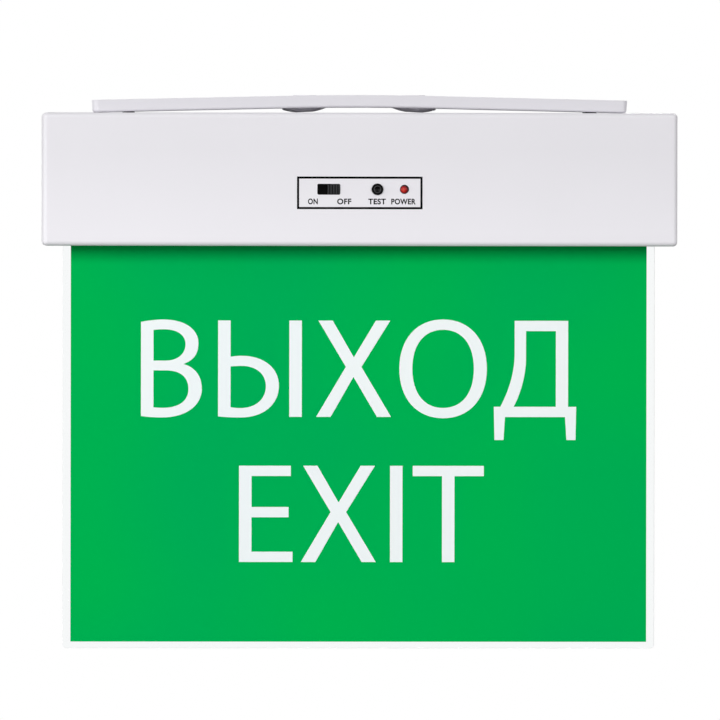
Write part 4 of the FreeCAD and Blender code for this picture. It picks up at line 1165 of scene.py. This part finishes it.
@dataclass
class Stage:
    """A pale floor well below the light, soft lamps round it and a long-lens camera."""

    floor_level: float = -1.1
    floor_reach: float = 3.0
    floor_shade: str = "#8C8C8C"
    floor_roughness: float = 0.9
    floor_glow: float = 0.85
    # how bright the surround is, by height on a unit sphere
    surround: tuple[tuple[float, float], ...] = (
        (-1.0, 0.15), (-0.12, 0.15), (-0.06, 1.0), (0.06, 1.0), (0.12, 0.2), (1.0, 0.28),
    )
    # each lamp's name, its place and size in metres, and its power in watts
    lamps: tuple[tuple[str, tuple[float, float, float], float, float], ...] = (
        ("lamp_front_left", (-1.0, -1.9, 0.45), 0.7, 21.5),
        ("lamp_front_right", (1.3, -2.0, 0.45), 0.7, 14.5),
        ("lamp_left", (-2.2, -0.45, 0.2), 0.8, 14.0),
        ("lamp_rear", (0.5, 2.4, 0.7), 0.8, 40.0),
    )
    aim_level: float = -0.14607
    aim_side: float = -0.0001
    camera_side: float = -0.33
    camera_level: float = -0.06
    camera_distance: float = 10.0
    view_width: float = 0.39686
    # turn about the line of sight, in degrees
    roll: float = 0.08
    sensor_mm: float = 36.0
    sight_from: float = 0.1
    sight_to: float = 50.0

    def floor(self) -> bpy.types.Object:
        """Lay the floor.

        Returns:
            The floor, which can be seen through from below.
        """
        deselect_all()
        bpy.ops.mesh.primitive_plane_add(
            size=self.floor_reach * 2, location=(0, 0, self.floor_level)
        )
        plane = bpy.context.object
        plane.name = "studio_floor"
        # seamless paper: grey to the light that it throws back, near white to the camera
        material = bpy.data.materials.new("floor_pale_paper")
        material.use_nodes = True
        tree = material.node_tree
        shader = tree.nodes["Principled BSDF"]
        shader.inputs["Base Color"].default_value = linear(self.floor_shade)
        shader.inputs["Roughness"].default_value = self.floor_roughness
        shader.inputs["Specular IOR Level"].default_value = 0.0
        path = add_node(tree, "ShaderNodeLightPath")
        glow = add_node(
            tree, "ShaderNodeEmission",
            {"Color": linear("#FFFFFF"), "Strength": path.outputs["Is Camera Ray"]},
        )
        faint = add_node(
            tree, "ShaderNodeMixShader",
            {0: self.floor_glow, 1: shader.outputs[0], 2: glow.outputs[0]},
        )
        seen = add_node(
            tree, "ShaderNodeMixShader",
            {0: path.outputs["Is Camera Ray"], 1: shader.outputs[0], 2: faint.outputs[0]},
        )
        clear = add_node(tree, "ShaderNodeBsdfTransparent")
        back = add_node(tree, "ShaderNodeNewGeometry")
        sided = add_node(
            tree, "ShaderNodeMixShader",
            {0: back.outputs["Backfacing"], 1: seen.outputs[0], 2: clear.outputs[0]},
        )
        tree.links.new(sided.outputs[0], tree.nodes["Material Output"].inputs["Surface"])
        dress(plane, material)
        return plane

    def world(self) -> None:
        """Set a pale surround, brightest along the horizon as in a white studio.

        The camera, gloss and clear pieces see it as plain white.
        """
        world = bpy.data.worlds.new("studio_surround")
        bpy.context.scene.world = world
        world.use_nodes = True
        tree = world.node_tree
        plain = tree.nodes["Background"]
        plain.inputs["Color"].default_value = linear("#FFFFFF")
        heading = add_node(tree, "ShaderNodeTexCoord").outputs["Generated"]
        rise = add_node(tree, "ShaderNodeSeparateXYZ", {"Vector": heading})
        share = add_node(
            tree, "ShaderNodeMapRange",
            {"Value": rise.outputs["Z"], "From Min": -1.0, "From Max": 1.0},
        )
        ramp = add_node(tree, "ShaderNodeValToRGB", {"Fac": share.outputs["Result"]})
        stops = ramp.color_ramp.elements
        levels = self.surround
        for stop, (height, level) in zip(stops, (levels[0], levels[-1])):
            stop.position, stop.color = (height + 1) / 2, (level, level, level, 1.0)
        for height, level in levels[1:-1]:
            stops.new((height + 1) / 2).color = (level, level, level, 1.0)
        tree.links.new(ramp.outputs["Color"], plain.inputs["Strength"])
        bright = add_node(
            tree, "ShaderNodeBackground", {"Color": linear("#FFFFFF"), "Strength": 1.0}
        )
        path = add_node(tree, "ShaderNodeLightPath")
        first = add_node(
            tree, "ShaderNodeMath",
            {0: path.outputs["Is Camera Ray"], 1: path.outputs["Is Glossy Ray"]},
            operation="MAXIMUM",
        )
        either = add_node(
            tree, "ShaderNodeMath",
            {0: first.outputs[0], 1: path.outputs["Is Transmission Ray"]}, operation="MAXIMUM",
        )
        mix = add_node(
            tree, "ShaderNodeMixShader",
            {0: either.outputs[0], 1: plain.outputs[0], 2: bright.outputs[0]},
        )
        tree.links.new(mix.outputs[0], tree.nodes["World Output"].inputs["Surface"])

    def lamp(
        self, name: str, place: tuple[float, float, float], size: float, power: float
    ) -> bpy.types.Object:
        """Set one soft lamp, turned to the light's middle.

        Args:
            name: the lamp's name.
            place: where it stands, in metres.
            size: its width and height, in metres.
            power: its power, in watts.

        Returns:
            The lamp.
        """
        deselect_all()
        bpy.ops.object.light_add(type="AREA", location=place)
        lamp = bpy.context.object
        lamp.name = name
        lamp.data.shape = "SQUARE"
        lamp.data.size = size
        lamp.data.energy = power
        lamp.visible_camera = False
        aim = Vector((0, 0, self.aim_level)) - Vector(place)
        lamp.rotation_euler = aim.to_track_quat("-Z", "Y").to_euler()
        return lamp

    def camera(self) -> bpy.types.Object:
        """Set the camera.

        Returns:
            The camera, level with the middle of its view.
        """
        deselect_all()
        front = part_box("front_shell")[0].y
        place = Vector((self.camera_side, front - self.camera_distance, self.camera_level))
        bpy.ops.object.camera_add(location=place)
        camera = bpy.context.object
        camera.name = "studio_camera"
        aim = Vector((self.aim_side, front, self.aim_level)) - place
        turn = aim.to_track_quat("-Z", "Y").to_matrix().to_4x4()
        turn = turn @ Matrix.Rotation(math.radians(self.roll), 4, "Z")
        camera.rotation_euler = turn.to_euler()
        camera.data.sensor_width = self.sensor_mm
        camera.data.lens = self.sensor_mm * aim.length / self.view_width
        camera.data.clip_start = self.sight_from
        camera.data.clip_end = self.sight_to
        bpy.context.scene.camera = camera
        return camera

    def build(self) -> None:
        """Set floor, surround, lamps and camera."""
        self.floor()
        self.world()
        for lamp in self.lamps:
            self.lamp(*lamp)
        self.camera()
        bpy.context.scene.view_settings.view_transform = "Standard"


def report(pieces: Iterable[bpy.types.Object]) -> None:
    """Name each new piece in the log."""
    for piece in pieces:
        log.info("made %s with %d faces", piece.name, len(piece.data.polygons))


def main() -> None:
    """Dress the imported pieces, add the printed ones and set the stage."""
    logging.basicConfig(level=logging.INFO, format="%(name)s: %(message)s")
    Wardrobe().dress_all()
    # screen ink, opaque titanium white: faintly blue, quite matt
    white_ink = PrintInk("ink_white", "#F9FFFF", "#F6FDFF", gloss=0.4).make()
    # screen ink, carbon black: matt
    black_ink = PrintInk("ink_black", "#050506", "#08080A").make()
    report(Sign().build(white_ink))
    report(ControlLabel().build(black_ink))
    report([ButtonRing().build()])
    Stage().build()


if __name__ == "__main__":
    main()
